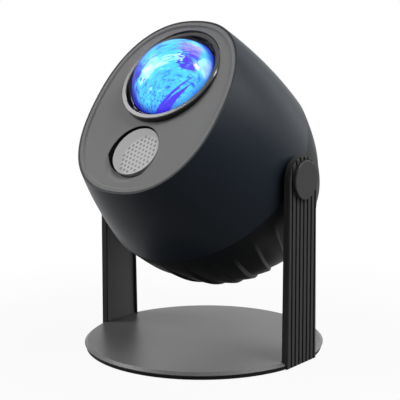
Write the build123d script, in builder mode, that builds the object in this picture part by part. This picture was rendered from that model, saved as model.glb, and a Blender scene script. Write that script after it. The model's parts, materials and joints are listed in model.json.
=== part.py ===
from build123d import *
import os
from math import acos, cos, pi, radians, sin, tan

os.makedirs("parts", exist_ok=True)

# Planetarium projector: a tilting head with a domed lens, held in a two-armed yoke on a round base.
# The origin is the middle of the base's underside, +Z is up and the head tilts about an axis along X.

# ---- main sizes and fits (mm) ----
head_radius = 70.0
pivot_height = 110.7
running_gap = 0.05
overcut = 1.0
screw_radius = 1.5
screw_head_radius = 2.8
screw_head_height = 2.0

# ---- yoke ----
arm_gap = 0.25
cover_lip_depth = 1.35
strip_thickness = 1.4
cover_thickness = 1.5
cover_lip_inner = head_radius + arm_gap
strip_inner = cover_lip_inner + cover_lip_depth
strip_outer = strip_inner + strip_thickness
cover_outer = strip_outer + cover_thickness
strip_bend = 1.2
cover_bottom = 0.2
cover_top_radius = 13.7
cover_foot_half_width = 15.05
cover_lip_width = 1.2
cover_fit = 0.1
cover_edge_radius = 0.7
groove_count = 7
groove_pitch = 3.9
groove_width = 1.6
groove_depth = 0.75
groove_shift = 0.4
peg_radius = 1.5
peg_length = 0.8
peg_root = 0.3
peg_heights = (24.0, 54.0, 84.0)

# ---- base ----
base_margin = 2.0
base_radius = strip_outer + base_margin
base_bevel = 2.0
base_edge = 0.3
base_bevel_height = 2.7
base_top = 4.2
rim_inset = 2.0
pad_thickness = 0.6
pad_band_inset = 0.5
pad_band_taper = 0.5
notch_clearance = 0.75
notch_side_clearance = 0.35
sill_thickness = 0.8
sill_gap = 0.1
screw_rows = (-52.0, -18.0, 18.0, 52.0)
yoke_screw_grip = 1.6

# ---- hinge ----
cap_radius = 11.4
cap_proud = 2.4
cap_face = cover_outer + cap_proud
cap_skirt_radius = 9.7
cap_wall = 1.0
cap_lift = 0.1
cap_chamfer = 0.4
bush_flange_radius = 9.0
bush_flange_thickness = 1.0
bush_radius = 5.5
journal_radius = 4.0
collar_radius = 6.5
collar_depth = 6.5
collar_start = head_radius - collar_depth
shaft_radius = 5.0
shaft_grip = 16.5
shaft_start = collar_start - shaft_grip
shaft_setback = 1.5
shaft_end = cap_face - shaft_setback
washer_radius = 8.0
washer_thickness = 0.6
nut_thickness = 1.6
nut_across_flats = 13.0

# ---- head shell ----
axis_elevation = 42.5
face_elevation = 38.2
face_distance = 60.56
face_centre_rise = 6.9
head_rise = 2.2
face_half_width = 49.3
face_half_height = 60.8
face_power = 2.31
side_bulge = 9.16
top_bulge = 3.7
centre_bulge = 2.04
shell_wall = 2.4
shell_lip = 1.2
rear_length = 71.0
rear_overrun = 6.9
rear_span = rear_length + rear_overrun
rear_taper = 10.0
rear_power = 2.373
rear_roundness = 3.073
rear_stations = (0.14, 0.31, 0.48, 0.65, 0.79, 0.9, 1.0)
cavity_stations = (0.11, 0.28, 0.45, 0.62, 0.76, 0.87)
flute_count = 28
flute_depth = 1.8
flute_start = 5.0
flute_run = 30.0
flute_rise_share = 0.86
flute_phase = -75.0
flute_swirl = -0.1
seam_gap = 0.2
shaft_hole_radius = 6.9

# ---- face ----
plate_gap = 0.15
plate_rim = 2.0
plate_slope = 1.1
plate_step = 0.8
plate_back = 2.6
ledge_depth = 4.2
ledge_width = 2.0

lens_radius = 29.75
lens_foot = -6.35
lens_rise = lens_radius + lens_foot
lens_sag = 19.5
lens_wall = 1.6
lens_fit = 0.2
bezel_width = 3.15
bezel_proud = 2.54
bezel_edge_drop = 0.5
bezel_bore_chamfer = 0.4
bezel_seat_width = 1.65
bezel_seat_depth = 1.6
bezel_flange_width = 2.5
bezel_flange_depth = 6.1
bezel_depth = 8.3
bezel_flat_inset = 1.1
lens_setback = 1.1
lens_flange_depth = 2.1
seal_thickness = 1.2
seal_inset = 0.6
bezel_bore = lens_radius + lens_fit
bezel_radius = bezel_bore + bezel_width
bezel_seat_radius = bezel_bore + bezel_seat_width
bezel_flange_radius = bezel_radius + bezel_flange_width
bezel_flat = bezel_radius - bezel_flat_inset
bezel_front = face_distance + bezel_proud
bezel_seat = bezel_front - bezel_seat_depth
bezel_flange_front = bezel_front - bezel_flange_depth
bezel_back = bezel_front - bezel_depth
lens_base = bezel_front - lens_setback
lens_flange_back = lens_base - lens_flange_depth
seal_back = lens_flange_back - seal_thickness

port_half_width = 17.85
port_shift = -1.05
port_half_height = 19.2
port_rise = -26.9
port_floor_radius = 15.9
port_floor_rise = -24.6
port_floor_depth = 4.2
port_wall = 1.7
port_rim_depth = 1.9
port_back = port_floor_depth + port_rim_depth
disc_gap = 0.3
disc_radius = port_floor_radius - disc_gap
disc_depth = 1.5
disc_back = port_floor_depth
sleeve_radius = disc_radius
sleeve_wall = 1.8
sleeve_length = 11.8
sleeve_back = disc_back + sleeve_length
sleeve_floor = 3.0
module_radius = 8.5
module_lead = 7.0
module_length = 25.0
module_front = sleeve_back - module_lead
module_back = module_front + module_length
module_window_radius = 4.0
module_window_depth = 2.0

# ---- chassis and its screws ----
chassis_gap = 3.0
chassis_radius = head_radius - shell_wall - chassis_gap
chassis_thickness = 3.0
block_half = 8.0
post_radius = 4.0
post_reach = chassis_radius - screw_head_radius
post_length = 42.0
post_angles = (45.0, 135.0, 225.0, 315.0)
standoff_reach = 30.0
standoff_radius = 3.6
standoff_angles = (-90.0, -10.0, 190.0)
shell_boss_depth = 9.0
shell_boss_front = rear_length - shell_boss_depth
shell_boss_radius = 5.0
shell_screw_depth = 4.0
shell_screw_seat = shell_screw_depth - rear_length
shell_screw_reach = 15.0
post_screw_tip = shell_screw_seat + shell_screw_reach
screw_head_clearance = 0.4
barrel_screw_tip = 0.6
sink_screw_tip = -2.0
chassis_screw_grip = 12.0
sink_boss_reach = 28.5
sink_boss_angles = (90.0, 210.0, 330.0)
tongue_width = 16.0
tongue_thickness = 1.6
tongue_length = 5.5
tongue_fit = 0.2
tongue_rise = head_radius - shell_wall - tongue_thickness - tongue_fit

# ---- lamp and lenses ----
barrel_inset = 5.75
barrel_radius = lens_radius - barrel_inset
barrel_wall = 3.0
barrel_bore = barrel_radius - barrel_wall
barrel_front = 50.0
barrel_back = -8.0
barrel_shoulder_width = 2.4
barrel_shoulder_radius = barrel_radius + barrel_shoulder_width
barrel_shoulder_length = 4.0
barrel_collar_width = 1.8
barrel_collar_radius = barrel_radius + barrel_collar_width
ear_offset = 4.0
ear_reach = barrel_radius + ear_offset
ear_radius = 3.4
ear_angles = (30.0, 150.0, 270.0)
ear_thickness = 3.0
wheel_end_gap = 0.1
lens_stop_width = 2.5
lens_stop_bore = barrel_bore - lens_stop_width
lens_stop_back = 14.0
lens_stop_thickness = 2.0
condenser_radius = barrel_bore - running_gap
condenser_edge = 3.0
condenser_sag = 4.5
clip_width = 1.4
clip_gap = 0.6
clip_thickness = 2.4
retainer_thickness = 1.2
retainer_width = 1.2
retainer_radius = barrel_radius + retainer_width
lamp_board_gap = 3.0
lamp_board_radius = barrel_bore - lamp_board_gap
lamp_board_thickness = 1.6
lamp_radius = 4.5
lamp_height = 2.8
lamp_top_share = 0.7
sink_radius = 32.0
sink_thickness = 4.0
fin_length = 24.0
fin_count = 9
fin_pitch = 6.2
fin_thickness = 1.6
fin_inset = 2.0
sink_back = barrel_back - sink_thickness - fin_length

# ---- turning dome and its drive ----
wheel_rim = 6.0
wheel_teeth = 60
pinion_teeth = 12
gear_module = 2 * (barrel_radius + wheel_rim) / wheel_teeth
pressure_angle = 25.0
tooth_share = 0.44
tooth_tip = 0.8
tooth_root = 1.05
gear_width = 4.2
gear_back = 40.0
gear_front = gear_back + gear_width
barrel_shoulder_back = gear_back - barrel_shoulder_length
motor_angle = -55.0
motor_radius = 7.5
motor_front = 36.0
motor_length = 30.0
motor_back = motor_front - motor_length
motor_shaft_radius = 1.5
shaft_insertion = 6.0
shaft_gap = 0.04
shaft_end_gap = 0.2
shaft_tip = 1.0
pinion_overhang = 0.2
cup_wall = 1.8
cup_radius = motor_radius + cup_wall
cup_front = 20.0
nebula_gap = 1.0
nebula_crown_gap = 2.1
nebula_shoulder_drop = 2.0
nebula_base_width = 4.2
nebula_base_radius = barrel_radius + nebula_base_width
nebula_clamp_gap = 0.6
nebula_wall = 1.3

# ---- rear panel ----
panel_radius = 24.0
panel_rim = 2.0
panel_plug_radius = panel_radius - panel_rim
panel_recess = 1.2
panel_back_wall = 2.6
panel_plug_setback = 1.0
board_clearance = 2.5
board_radius = panel_plug_radius - board_clearance
board_depth = 16.0
board_front = board_depth - rear_length
board_thickness = 1.6
pillar_radius = 2.4
pillar_pin_radius = 1.2
pillar_pin_proud = 0.6
pillar_sites = ((-17.0, -8.0), (17.0, -8.0), (0.0, 16.5))
button_radius = 4.4
button_spread = 13.0
button_rise = 6.0
button_gap = 0.06
button_proud = 1.2
button_edge_radius = 0.5
button_flange_width = 1.1
button_flange_thickness = 1.2
button_stem_radius = 1.8
button_stem_entry = 0.6
switch_side = 7.0
switch_height = 4.0
switch_pocket_depth = 2.6
inlet_rise = -10.0
inlet_width = 9.0
inlet_height = 10.0
inlet_barrel_radius = 4.0
inlet_bore_radius = 2.8
inlet_bore_depth = 9.0
inlet_pin_radius = 1.0
inlet_pin_setback = 1.0


# ---- frames ----
def forward(elevation):
    return Vector(0, -cos(radians(elevation)), sin(radians(elevation)))


def upward(elevation):
    return Vector(0, sin(radians(elevation)), cos(radians(elevation)))


pivot = Vector(0, 0, pivot_height)
HEAD = Plane(origin=pivot, x_dir=(1, 0, 0), z_dir=forward(axis_elevation))
BODY = Plane(origin=HEAD.from_local_coords((0, head_rise, 0)), x_dir=HEAD.x_dir, z_dir=HEAD.z_dir)
LENS = Plane(origin=HEAD.from_local_coords((0, lens_rise, 0)), x_dir=HEAD.x_dir, z_dir=HEAD.z_dir)
face_origin = pivot + forward(face_elevation) * face_distance
FACE = Plane(origin=face_origin, x_dir=(1, 0, 0), z_dir=forward(face_elevation))
STAND = Plane.XY


def side_of(frame):
    """Plane through the frame's z axis, in which x is the radius and y the height along the axis."""
    return Plane(origin=frame.origin, x_dir=frame.x_dir, z_dir=frame.y_dir * -1)


def turned(frame, corners, mode=Mode.ADD):
    """Turn (radius, height) corners about the frame's z axis, into the part being built."""
    with BuildSketch(side_of(frame)) as profile:
        with BuildLine():
            Polyline(*corners, close=True)
        make_face()
    revolve(profile.sketch, axis=Axis(frame.origin, frame.z_dir), mode=mode)


def rod(frame, radius, start, end, sites=((0, 0),), mode=Mode.ADD):
    """Cylinders along the frame's z axis between two heights, into the part being built."""
    with Locations(frame):
        with Locations(*[(x, y, start) for x, y in sites]):
            Cylinder(radius, end - start, align=(Align.CENTER, Align.CENTER, Align.MIN), mode=mode)


def block(frame, size_x, size_y, start, end, sites=((0, 0),), mode=Mode.ADD):
    """Boxes along the frame's z axis between two heights, into the part being built."""
    with Locations(frame):
        with Locations(*[(x, y, start) for x, y in sites]):
            Box(size_x, size_y, end - start, align=(Align.CENTER, Align.CENTER, Align.MIN), mode=mode)


def sideways(side, height=pivot_height):
    """Frame whose z axis leaves the middle of the yoke towards one arm."""
    return Plane(origin=(0, 0, height), x_dir=(0, side, 0), z_dir=(side, 0, 0))


def ring_sites(reach, angles):
    return [(reach * cos(radians(a)), reach * sin(radians(a))) for a in angles]


# ---- head outlines ----
def oval(frame, half_x, half_y, power, steps=24):
    """Closed smooth outline |x/a|^n + |y/b|^n = 1."""
    points = []
    for step in range(steps):
        angle = 2 * pi * step / steps
        c = cos(angle)
        s = sin(angle)
        x = half_x * abs(c) ** (2 / power) * (1 if c >= 0 else -1)
        y = half_y * abs(s) ** (2 / power) * (1 if s >= 0 else -1)
        points.append((x, y))
    with BuildSketch(frame) as outline:
        with BuildLine():
            Spline(*points, periodic=True)
        make_face()
    return outline.sketch


face_up = upward(face_elevation) * face_centre_rise
face_middle = HEAD.to_local_coords(FACE.origin + face_up)


def front_section(t, inset=0.0):
    """Outline of the front shell, from the parting line at t = 0 to the face at t = 1."""
    elevation = axis_elevation + (face_elevation - axis_elevation) * t
    swell = t * (1 - t)
    rise = head_rise + (face_middle.Y - head_rise) * t + centre_bulge * swell
    centre = pivot + upward(axis_elevation) * rise + forward(axis_elevation) * (face_middle.Z * t)
    frame = Plane(origin=centre, x_dir=(1, 0, 0), z_dir=forward(elevation))
    half_x = head_radius + (face_half_width - head_radius) * t + side_bulge * swell - inset
    half_y = head_radius + (face_half_height - head_radius) * t + top_bulge * swell - inset
    return oval(frame, half_x, half_y, 2 + (face_power - 2) * t)


def rear_radius(s):
    t = s / rear_span
    return (head_radius - rear_taper * t) * (1 - t ** rear_power) ** (1 / rear_roundness)


def flute_drop(s):
    share = min(1.0, max(0.0, (s - flute_start) / flute_run))
    return flute_depth * share * share * (3 - 2 * share)


def rear_section(s):
    """Saw-tooth outline of the rear shell at a distance behind the parting line."""
    frame = Plane(origin=BODY.origin - BODY.z_dir * s, x_dir=(1, 0, 0), z_dir=BODY.z_dir)
    high = rear_radius(s)
    low = high - flute_drop(s)
    pitch = 360 / flute_count
    turn = flute_phase + flute_swirl * s

    def at(radius, angle):
        return (radius * cos(radians(angle)), radius * sin(radians(angle)))

    with BuildSketch(frame) as outline:
        with BuildLine():
            for flute in range(flute_count):
                angle = turn + pitch * flute
                crest = angle + pitch * flute_rise_share
                ThreePointArc(at(low, angle), at((high + low) / 2, (angle + crest) / 2), at(high, crest))
                Line(at(high, crest), at(low, angle + pitch))
        make_face()
    return outline.sketch


# ---- teeth ----
def gear_outline(frame, teeth, turn=0.0):
    """Stub involute gear with the flanks thinned to give backlash."""
    pitch_radius = gear_module * teeth / 2
    base = pitch_radius * cos(radians(pressure_angle))
    tip = pitch_radius + tooth_tip * gear_module
    root = pitch_radius - tooth_root * gear_module

    def involute(radius):
        opening = acos(min(1.0, base / radius))
        return tan(opening) - opening

    start = max(root, base)
    radii = [start + (tip - start) * k / 3 for k in range(4)]
    half = pi * tooth_share / teeth + involute(pitch_radius)
    points = []
    for tooth in range(teeth):
        middle = radians(turn) + 2 * pi * tooth / teeth
        foot = half - involute(start)
        points.append((root, middle - foot))
        points.extend((r, middle - half + involute(r)) for r in radii if r > root)
        points.extend((r, middle + half - involute(r)) for r in reversed(radii) if r > root)
        points.append((root, middle + foot))
    with BuildSketch(frame) as outline:
        with BuildLine():
            Polyline(*[(r * cos(a), r * sin(a)) for r, a in points], close=True)
        make_face()
    return outline.sketch


# ==== stand ====
notch_face = cover_lip_inner - notch_clearance
notch_half_width = cover_foot_half_width + notch_side_clearance
notch_depth = 2 * (base_radius - notch_face)
notch_sites = ((base_radius, 0), (-base_radius, 0))
strip_top_radius = cover_top_radius - cover_lip_width - cover_fit
strip_foot_half_width = cover_foot_half_width - cover_lip_width - cover_fit
channel_width = 2 * (strip_foot_half_width + cover_fit)
base_wall_radius = base_radius - rim_inset
pad_band_radius = base_radius - pad_band_inset
pad_band_top = base_bevel_height - base_edge
sill_reach = strip_inner - sill_gap
sill_root = notch_face - overcut
sill_middle = (sill_reach + sill_root) / 2
sill_sites = ((sill_middle, 0), (-sill_middle, 0))
sill_width = 2 * (strip_foot_half_width - sill_gap)
yoke_screw_sites = [(x, 0) for x in screw_rows]
yoke_screw_tip = pad_thickness + strip_thickness + yoke_screw_grip
yoke_screw_profile = (
    (0, pad_thickness),
    (screw_head_radius, pad_thickness),
    (screw_radius, pad_thickness + screw_head_radius - screw_radius),
    (screw_radius, yoke_screw_tip),
    (0, yoke_screw_tip),
)


def arm_outline(side, top_radius, foot_half_width, foot, reach=0.0):
    """Tapering arm with a round top about the pivot, drawn looking along the tilt axis."""
    height = pivot_height - foot
    with BuildSketch(sideways(side).offset(reach)) as outline:
        with BuildLine():
            Polyline(
                (-top_radius, 0),
                (-foot_half_width, -height),
                (foot_half_width, -height),
                (top_radius, 0),
            )
            ThreePointArc((top_radius, 0), (0, top_radius), (-top_radius, 0))
        make_face()
    return outline.sketch


with BuildPart() as base_plate:
    turned(STAND, [
        (0, pad_thickness),
        (base_wall_radius, pad_thickness),
        (base_wall_radius, pad_band_top),
        (base_radius - base_edge, pad_band_top),
        (base_radius, base_bevel_height),
        (base_radius - base_bevel, base_top),
        (0, base_top),
    ])
    block(STAND, notch_depth, 2 * notch_half_width, 0, 2 * base_top, notch_sites, Mode.SUBTRACT)
    block(STAND, 4 * base_radius, channel_width, 0, pad_thickness + strip_thickness, mode=Mode.SUBTRACT)
    block(STAND, sill_reach - sill_root, sill_width, base_top - sill_thickness, base_top, sill_sites)
    rod(STAND, screw_radius, 0, yoke_screw_tip, yoke_screw_sites, Mode.SUBTRACT)
base_plate.part.label = "base_plate"
export_step(base_plate.part, "parts/base_plate.step")

with BuildPart() as foot_pad:
    turned(STAND, [
        (0, 0),
        (pad_band_radius - pad_band_taper, 0),
        (pad_band_radius, pad_band_top),
        (base_wall_radius + running_gap, pad_band_top),
        (base_wall_radius + running_gap, pad_thickness),
        (0, pad_thickness),
    ])
    block(STAND, notch_depth, 2 * notch_half_width, 0, 2 * base_top, notch_sites, Mode.SUBTRACT)
foot_pad.part.label = "foot_pad"
export_step(foot_pad.part, "parts/foot_pad.step")

strip_end = pivot_height + 2 * cover_top_radius
with BuildPart() as yoke_strip:
    with BuildSketch(Plane.XZ):
        with BuildLine():
            Polyline(
                (-strip_outer, strip_end),
                (-strip_outer, pad_thickness),
                (strip_outer, pad_thickness),
                (strip_outer, strip_end),
                (strip_inner, strip_end),
                (strip_inner, pad_thickness + strip_thickness),
                (-strip_inner, pad_thickness + strip_thickness),
                (-strip_inner, strip_end),
                close=True,
            )
        make_face()
    extrude(amount=2 * cover_foot_half_width, both=True)
    bends = yoke_strip.edges().filter_by(Axis.Y).group_by(Axis.Z)
    fillet(bends[1], strip_bend)
    fillet(bends[0], strip_bend + strip_thickness)
    extrude(
        arm_outline(1, strip_top_radius, strip_foot_half_width, 0),
        amount=2 * base_radius,
        both=True,
        mode=Mode.INTERSECT,
    )
    for side in (1, -1):
        rod(sideways(side), bush_radius, strip_inner - overcut, strip_outer + overcut, mode=Mode.SUBTRACT)
        for height in peg_heights:
            pocket = strip_outer - peg_length - cover_fit
            peg_line = sideways(side, height)
            rod(peg_line, peg_radius + cover_fit, pocket, strip_outer + overcut, mode=Mode.SUBTRACT)
    for x, y in yoke_screw_sites:
        turned(Plane(origin=(x, y, 0)), yoke_screw_profile, Mode.SUBTRACT)
yoke_strip.part.label = "yoke_strip"
export_step(yoke_strip.part, "parts/yoke_strip.step")


for side, hand in ((1, "right"), (-1, "left")):
    axle = sideways(side)
    with BuildPart() as arm_cover:
        outline = arm_outline(side, cover_top_radius, cover_foot_half_width, cover_bottom, cover_outer)
        extrude(outline, amount=cover_lip_inner - cover_outer)
        rim = arm_cover.faces().sort_by(Axis(axle.origin, axle.z_dir))[-1].edges()
        fillet(rim, cover_edge_radius)
        channel_top = cover_top_radius - cover_lip_width
        channel_foot = cover_foot_half_width - cover_lip_width
        channel = arm_outline(side, channel_top, channel_foot, -overcut, strip_outer + running_gap)
        extrude(channel, amount=-2 * strip_thickness - 2 * overcut, mode=Mode.SUBTRACT)
        with BuildSketch(axle.offset(cover_outer)):
            with Locations((groove_shift * side, 0)):
                with GridLocations(groove_pitch, 0, groove_count, 1):
                    Rectangle(groove_width, 3 * pivot_height)
        extrude(amount=-groove_depth, mode=Mode.SUBTRACT)
        rod(axle, cap_skirt_radius + running_gap, strip_inner, cap_face, mode=Mode.SUBTRACT)
        for height in peg_heights:
            rod(sideways(side, height), peg_radius, strip_outer - peg_length, strip_outer + peg_root)
    arm_cover.part.label = f"arm_cover_{hand}"
    export_step(arm_cover.part, f"parts/arm_cover_{hand}.step")

    with BuildPart() as hinge_cap:
        turned(axle, [
            (0, cap_face - cap_wall),
            (cap_skirt_radius - cap_wall, cap_face - cap_wall),
            (cap_skirt_radius - cap_wall, strip_outer + cap_lift),
            (cap_skirt_radius, strip_outer + cap_lift),
            (cap_skirt_radius, cover_outer),
            (cap_radius, cover_outer),
            (cap_radius, cap_face - cap_chamfer),
            (cap_radius - cap_chamfer, cap_face),
            (0, cap_face),
        ])
    hinge_cap.part.label = f"hinge_cap_{hand}"
    export_step(hinge_cap.part, f"parts/hinge_cap_{hand}.step")

    bush_face = strip_inner - bush_flange_thickness
    with BuildPart() as pivot_bush:
        turned(axle, [
            (journal_radius + running_gap, bush_face),
            (bush_flange_radius, bush_face),
            (bush_flange_radius, strip_inner),
            (bush_radius, strip_inner),
            (bush_radius, strip_outer),
            (journal_radius + running_gap, strip_outer),
        ])
    pivot_bush.part.label = f"pivot_bush_{hand}"
    export_step(pivot_bush.part, f"parts/pivot_bush_{hand}.step")

    with BuildPart() as pivot_shaft:
        turned(axle, [
            (0, shaft_start),
            (shaft_radius, shaft_start),
            (shaft_radius, collar_start),
            (collar_radius, collar_start),
            (collar_radius, bush_face - running_gap),
            (journal_radius, bush_face - running_gap),
            (journal_radius, shaft_end - cap_chamfer),
            (journal_radius - cap_chamfer, shaft_end),
            (0, shaft_end),
        ])
    pivot_shaft.part.label = f"pivot_shaft_{hand}"
    export_step(pivot_shaft.part, f"parts/pivot_shaft_{hand}.step")

    with BuildPart() as friction_washer:
        rod(axle, washer_radius, strip_outer, strip_outer + washer_thickness)
        rod(axle, journal_radius + cover_fit, strip_inner, cap_face, mode=Mode.SUBTRACT)
    friction_washer.part.label = f"friction_washer_{hand}"
    export_step(friction_washer.part, f"parts/friction_washer_{hand}.step")

    with BuildPart() as pivot_nut:
        with BuildSketch(axle.offset(strip_outer + washer_thickness + running_gap)):
            RegularPolygon(nut_across_flats / 2, 6, major_radius=False)
            Circle(journal_radius, mode=Mode.SUBTRACT)
        extrude(amount=nut_thickness)
    pivot_nut.part.label = f"pivot_nut_{hand}"
    export_step(pivot_nut.part, f"parts/pivot_nut_{hand}.step")

with BuildPart() as yoke_screws:
    for x, y in yoke_screw_sites:
        turned(Plane(origin=(x, y, 0)), yoke_screw_profile)
yoke_screws.part.label = "yoke_screws"
export_step(yoke_screws.part, "parts/yoke_screws.step")


# ==== head shell ====
def screw_set(frame, sites, seat, tip):
    """Pan-head screws, heads on the far side of the seat height and shanks ending at the tip."""
    head = seat + screw_head_height * (1 if seat > tip else -1)
    rod(frame, screw_head_radius, min(seat, head), max(seat, head), sites)
    rod(frame, screw_radius, min(seat, tip), max(seat, tip), sites)


post_sites = ring_sites(post_reach, post_angles)
port_site = ((0, port_floor_rise),)
inlet_site = ((0, inlet_rise),)
standoff_sites = ring_sites(standoff_reach, standoff_angles)
cavity_end = 1 - ledge_depth / face_middle.Z
face_frame = Plane(origin=FACE.origin + face_up, x_dir=(1, 0, 0), z_dir=FACE.z_dir)


def face_oval(inset, depth=0.0):
    """Outline of the head's front opening, drawn in by an inset, at a depth behind the opening."""
    return oval(face_frame.offset(-depth), face_half_width - inset, face_half_height - inset, face_power)


with BuildPart() as front_cavity:
    loft([front_section(t, shell_wall) for t in (-0.02, 0.25, 0.5, 0.75, cavity_end)])
    rod(BODY, post_radius, chassis_thickness, post_length, post_sites, mode=Mode.SUBTRACT)

with BuildPart() as front_shell:
    loft([front_section(t) for t in (0, 0.25, 0.5, 0.75, 1)])
    add(front_cavity.part, mode=Mode.SUBTRACT)
    extrude(face_oval(shell_lip), amount=-plate_back, mode=Mode.SUBTRACT)
    extrude(face_oval(shell_lip + ledge_width), amount=-ledge_depth - overcut, mode=Mode.SUBTRACT)
    rod(BODY, screw_radius, 0, chassis_screw_grip, post_sites, mode=Mode.SUBTRACT)
    for side in (1, -1):
        rod(sideways(side), shaft_hole_radius, collar_start, cap_face, mode=Mode.SUBTRACT)
front_shell.part.label = "front_shell"
export_step(front_shell.part, "parts/front_shell.step")

back_inner = rear_length - panel_back_wall
with BuildPart() as rear_cavity:
    with BuildSketch(side_of(BODY)):
        with BuildLine():
            stations = [0, *(rear_length * share for share in cavity_stations), back_inner]
            inner = [(rear_radius(s) - shell_wall - flute_drop(s), -s) for s in stations]
            mouth = (inner[0][0], overcut)
            Spline(*inner)
            Polyline(inner[-1], (0, -back_inner), (0, overcut), mouth, inner[0])
        make_face()
    revolve(axis=Axis(BODY.origin, BODY.z_dir))
    rod(BODY, shell_boss_radius, -rear_length, -shell_boss_front, standoff_sites, Mode.SUBTRACT)

with BuildPart() as rear_shell:
    loft([rear_section(s) for s in (seam_gap, *(rear_length * share for share in rear_stations))])
    add(rear_cavity.part, mode=Mode.SUBTRACT)
    outside = -rear_length - overcut
    boss_front = overcut - shell_boss_front
    rod(BODY, panel_plug_radius + running_gap, outside, overcut - back_inner, mode=Mode.SUBTRACT)
    rod(BODY, panel_radius + plate_gap, outside, panel_recess - rear_length, mode=Mode.SUBTRACT)
    rod(BODY, screw_radius + cover_fit, outside, boss_front, standoff_sites, Mode.SUBTRACT)
    screw_well_radius = screw_head_radius + screw_head_clearance
    rod(BODY, screw_well_radius, outside, shell_screw_seat, standoff_sites, Mode.SUBTRACT)
    for side in (1, -1):
        rod(sideways(side), shaft_hole_radius, collar_start, cap_face, mode=Mode.SUBTRACT)
    block(BODY, tongue_width, tongue_thickness, -tongue_length, tongue_length, ((0, tongue_rise),))
    tongue_site = ((0, tongue_rise + tongue_thickness),)
    block(BODY, tongue_width, tongue_thickness, -tongue_length, -overcut, tongue_site)
rear_shell.part.label = "rear_shell"
export_step(rear_shell.part, "parts/rear_shell.step")


# ==== face ====
def port_dish(wall, mode=Mode.ADD):
    """Dish that tapers from the port's mouth to its floor, grown by a wall, into the part being built."""
    with BuildSketch(FACE.offset(-plate_step)) as mouth:
        with Locations((port_shift, port_rise)):
            Ellipse(port_half_width + wall, port_half_height + wall)
    with BuildSketch(FACE.offset(-port_floor_depth)) as floor:
        with Locations((0, port_floor_rise)):
            Circle(port_floor_radius + wall)
    loft([mouth.sketch, floor.sketch], mode=mode)


plate_inset = shell_lip + plate_gap
with BuildPart() as face_plate:
    extrude(face_oval(plate_inset), amount=-plate_back)
    step_inset = plate_inset + plate_rim
    loft([face_oval(step_inset), face_oval(step_inset + plate_slope, plate_step)], mode=Mode.SUBTRACT)
    port_dish(port_wall)
    rod(FACE, port_floor_radius + port_wall, -port_back, -port_floor_depth, port_site)
    port_dish(0.0, Mode.SUBTRACT)
    rod(FACE, port_floor_radius, -port_back - overcut, -port_floor_depth, port_site, Mode.SUBTRACT)
    rod(LENS, bezel_radius + running_gap, bezel_back, 2 * bezel_front, mode=Mode.SUBTRACT)
face_plate.part.label = "face_plate"
export_step(face_plate.part, "parts/face_plate.step")

with BuildPart() as lens_bezel:
    turned(LENS, [
        (bezel_bore, bezel_seat),
        (bezel_seat_radius, bezel_seat),
        (bezel_seat_radius, bezel_back),
        (bezel_flange_radius, bezel_back),
        (bezel_flange_radius, bezel_flange_front),
        (bezel_radius, bezel_flange_front),
        (bezel_radius, bezel_front - bezel_edge_drop),
        (bezel_radius - bezel_edge_drop, bezel_front),
        (bezel_bore + bezel_bore_chamfer, bezel_front),
        (bezel_bore, bezel_front - bezel_bore_chamfer),
    ])
    flat_site = ((0, -bezel_flat - bezel_radius),)
    block(LENS, 4 * bezel_radius, 2 * bezel_radius, 0, bezel_flange_front, flat_site, Mode.SUBTRACT)
lens_bezel.part.label = "lens_bezel"
export_step(lens_bezel.part, "parts/lens_bezel.step")


def dome_radius(rim, sag):
    return (rim * rim + sag * sag) / (2 * sag)


def dome_point(rim, sag, base, x):
    """Point on the dome surface at distance x from its axis."""
    reach = dome_radius(rim, sag)
    return (x, base + sag - reach + (reach * reach - x * x) ** 0.5)


lens_inner_sag = lens_sag - lens_wall
lens_inner_reach = dome_radius(lens_radius, lens_sag) - lens_wall
lens_inner_radius = (lens_inner_reach ** 2 - (lens_inner_reach - lens_inner_sag) ** 2) ** 0.5
with BuildPart() as dome_lens:
    with BuildSketch(side_of(LENS)):
        with BuildLine():
            crown = (0, lens_base + lens_sag)
            under_crown = (0, lens_base + lens_inner_sag)
            shoulder = (lens_radius, lens_base)
            ThreePointArc(shoulder, dome_point(lens_radius, lens_sag, lens_base, lens_radius * 0.6), crown)
            Line(crown, under_crown)
            ThreePointArc(
                under_crown,
                dome_point(lens_inner_radius, lens_inner_sag, lens_base, lens_inner_radius * 0.6),
                (lens_inner_radius, lens_base),
            )
            Polyline(
                (lens_inner_radius, lens_base),
                (lens_inner_radius, lens_flange_back),
                (bezel_seat_radius - running_gap, lens_flange_back),
                (bezel_seat_radius - running_gap, bezel_seat),
                (lens_radius, bezel_seat),
                (lens_radius, lens_base),
            )
        make_face()
    revolve(axis=Axis(LENS.origin, LENS.z_dir))
dome_lens.part.label = "dome_lens"
export_step(dome_lens.part, "parts/dome_lens.step")

with BuildPart() as lens_seal:
    turned(LENS, [
        (lens_inner_radius + seal_inset, seal_back),
        (bezel_seat_radius, seal_back),
        (bezel_seat_radius, lens_flange_back),
        (lens_inner_radius + seal_inset, lens_flange_back),
    ])
lens_seal.part.label = "lens_seal"
export_step(lens_seal.part, "parts/lens_seal.step")

with BuildPart() as lens_clamp:
    turned(LENS, [
        (nebula_base_radius + nebula_clamp_gap, bezel_back),
        (bezel_seat_radius, bezel_back),
        (bezel_seat_radius, seal_back),
        (nebula_base_radius + nebula_clamp_gap, seal_back),
    ])
lens_clamp.part.label = "lens_clamp"
export_step(lens_clamp.part, "parts/lens_clamp.step")

with BuildPart() as star_lens:
    rod(FACE, disc_radius, -disc_back, -disc_depth, port_site)
star_lens.part.label = "star_lens"
export_step(star_lens.part, "parts/star_lens.step")

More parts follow.
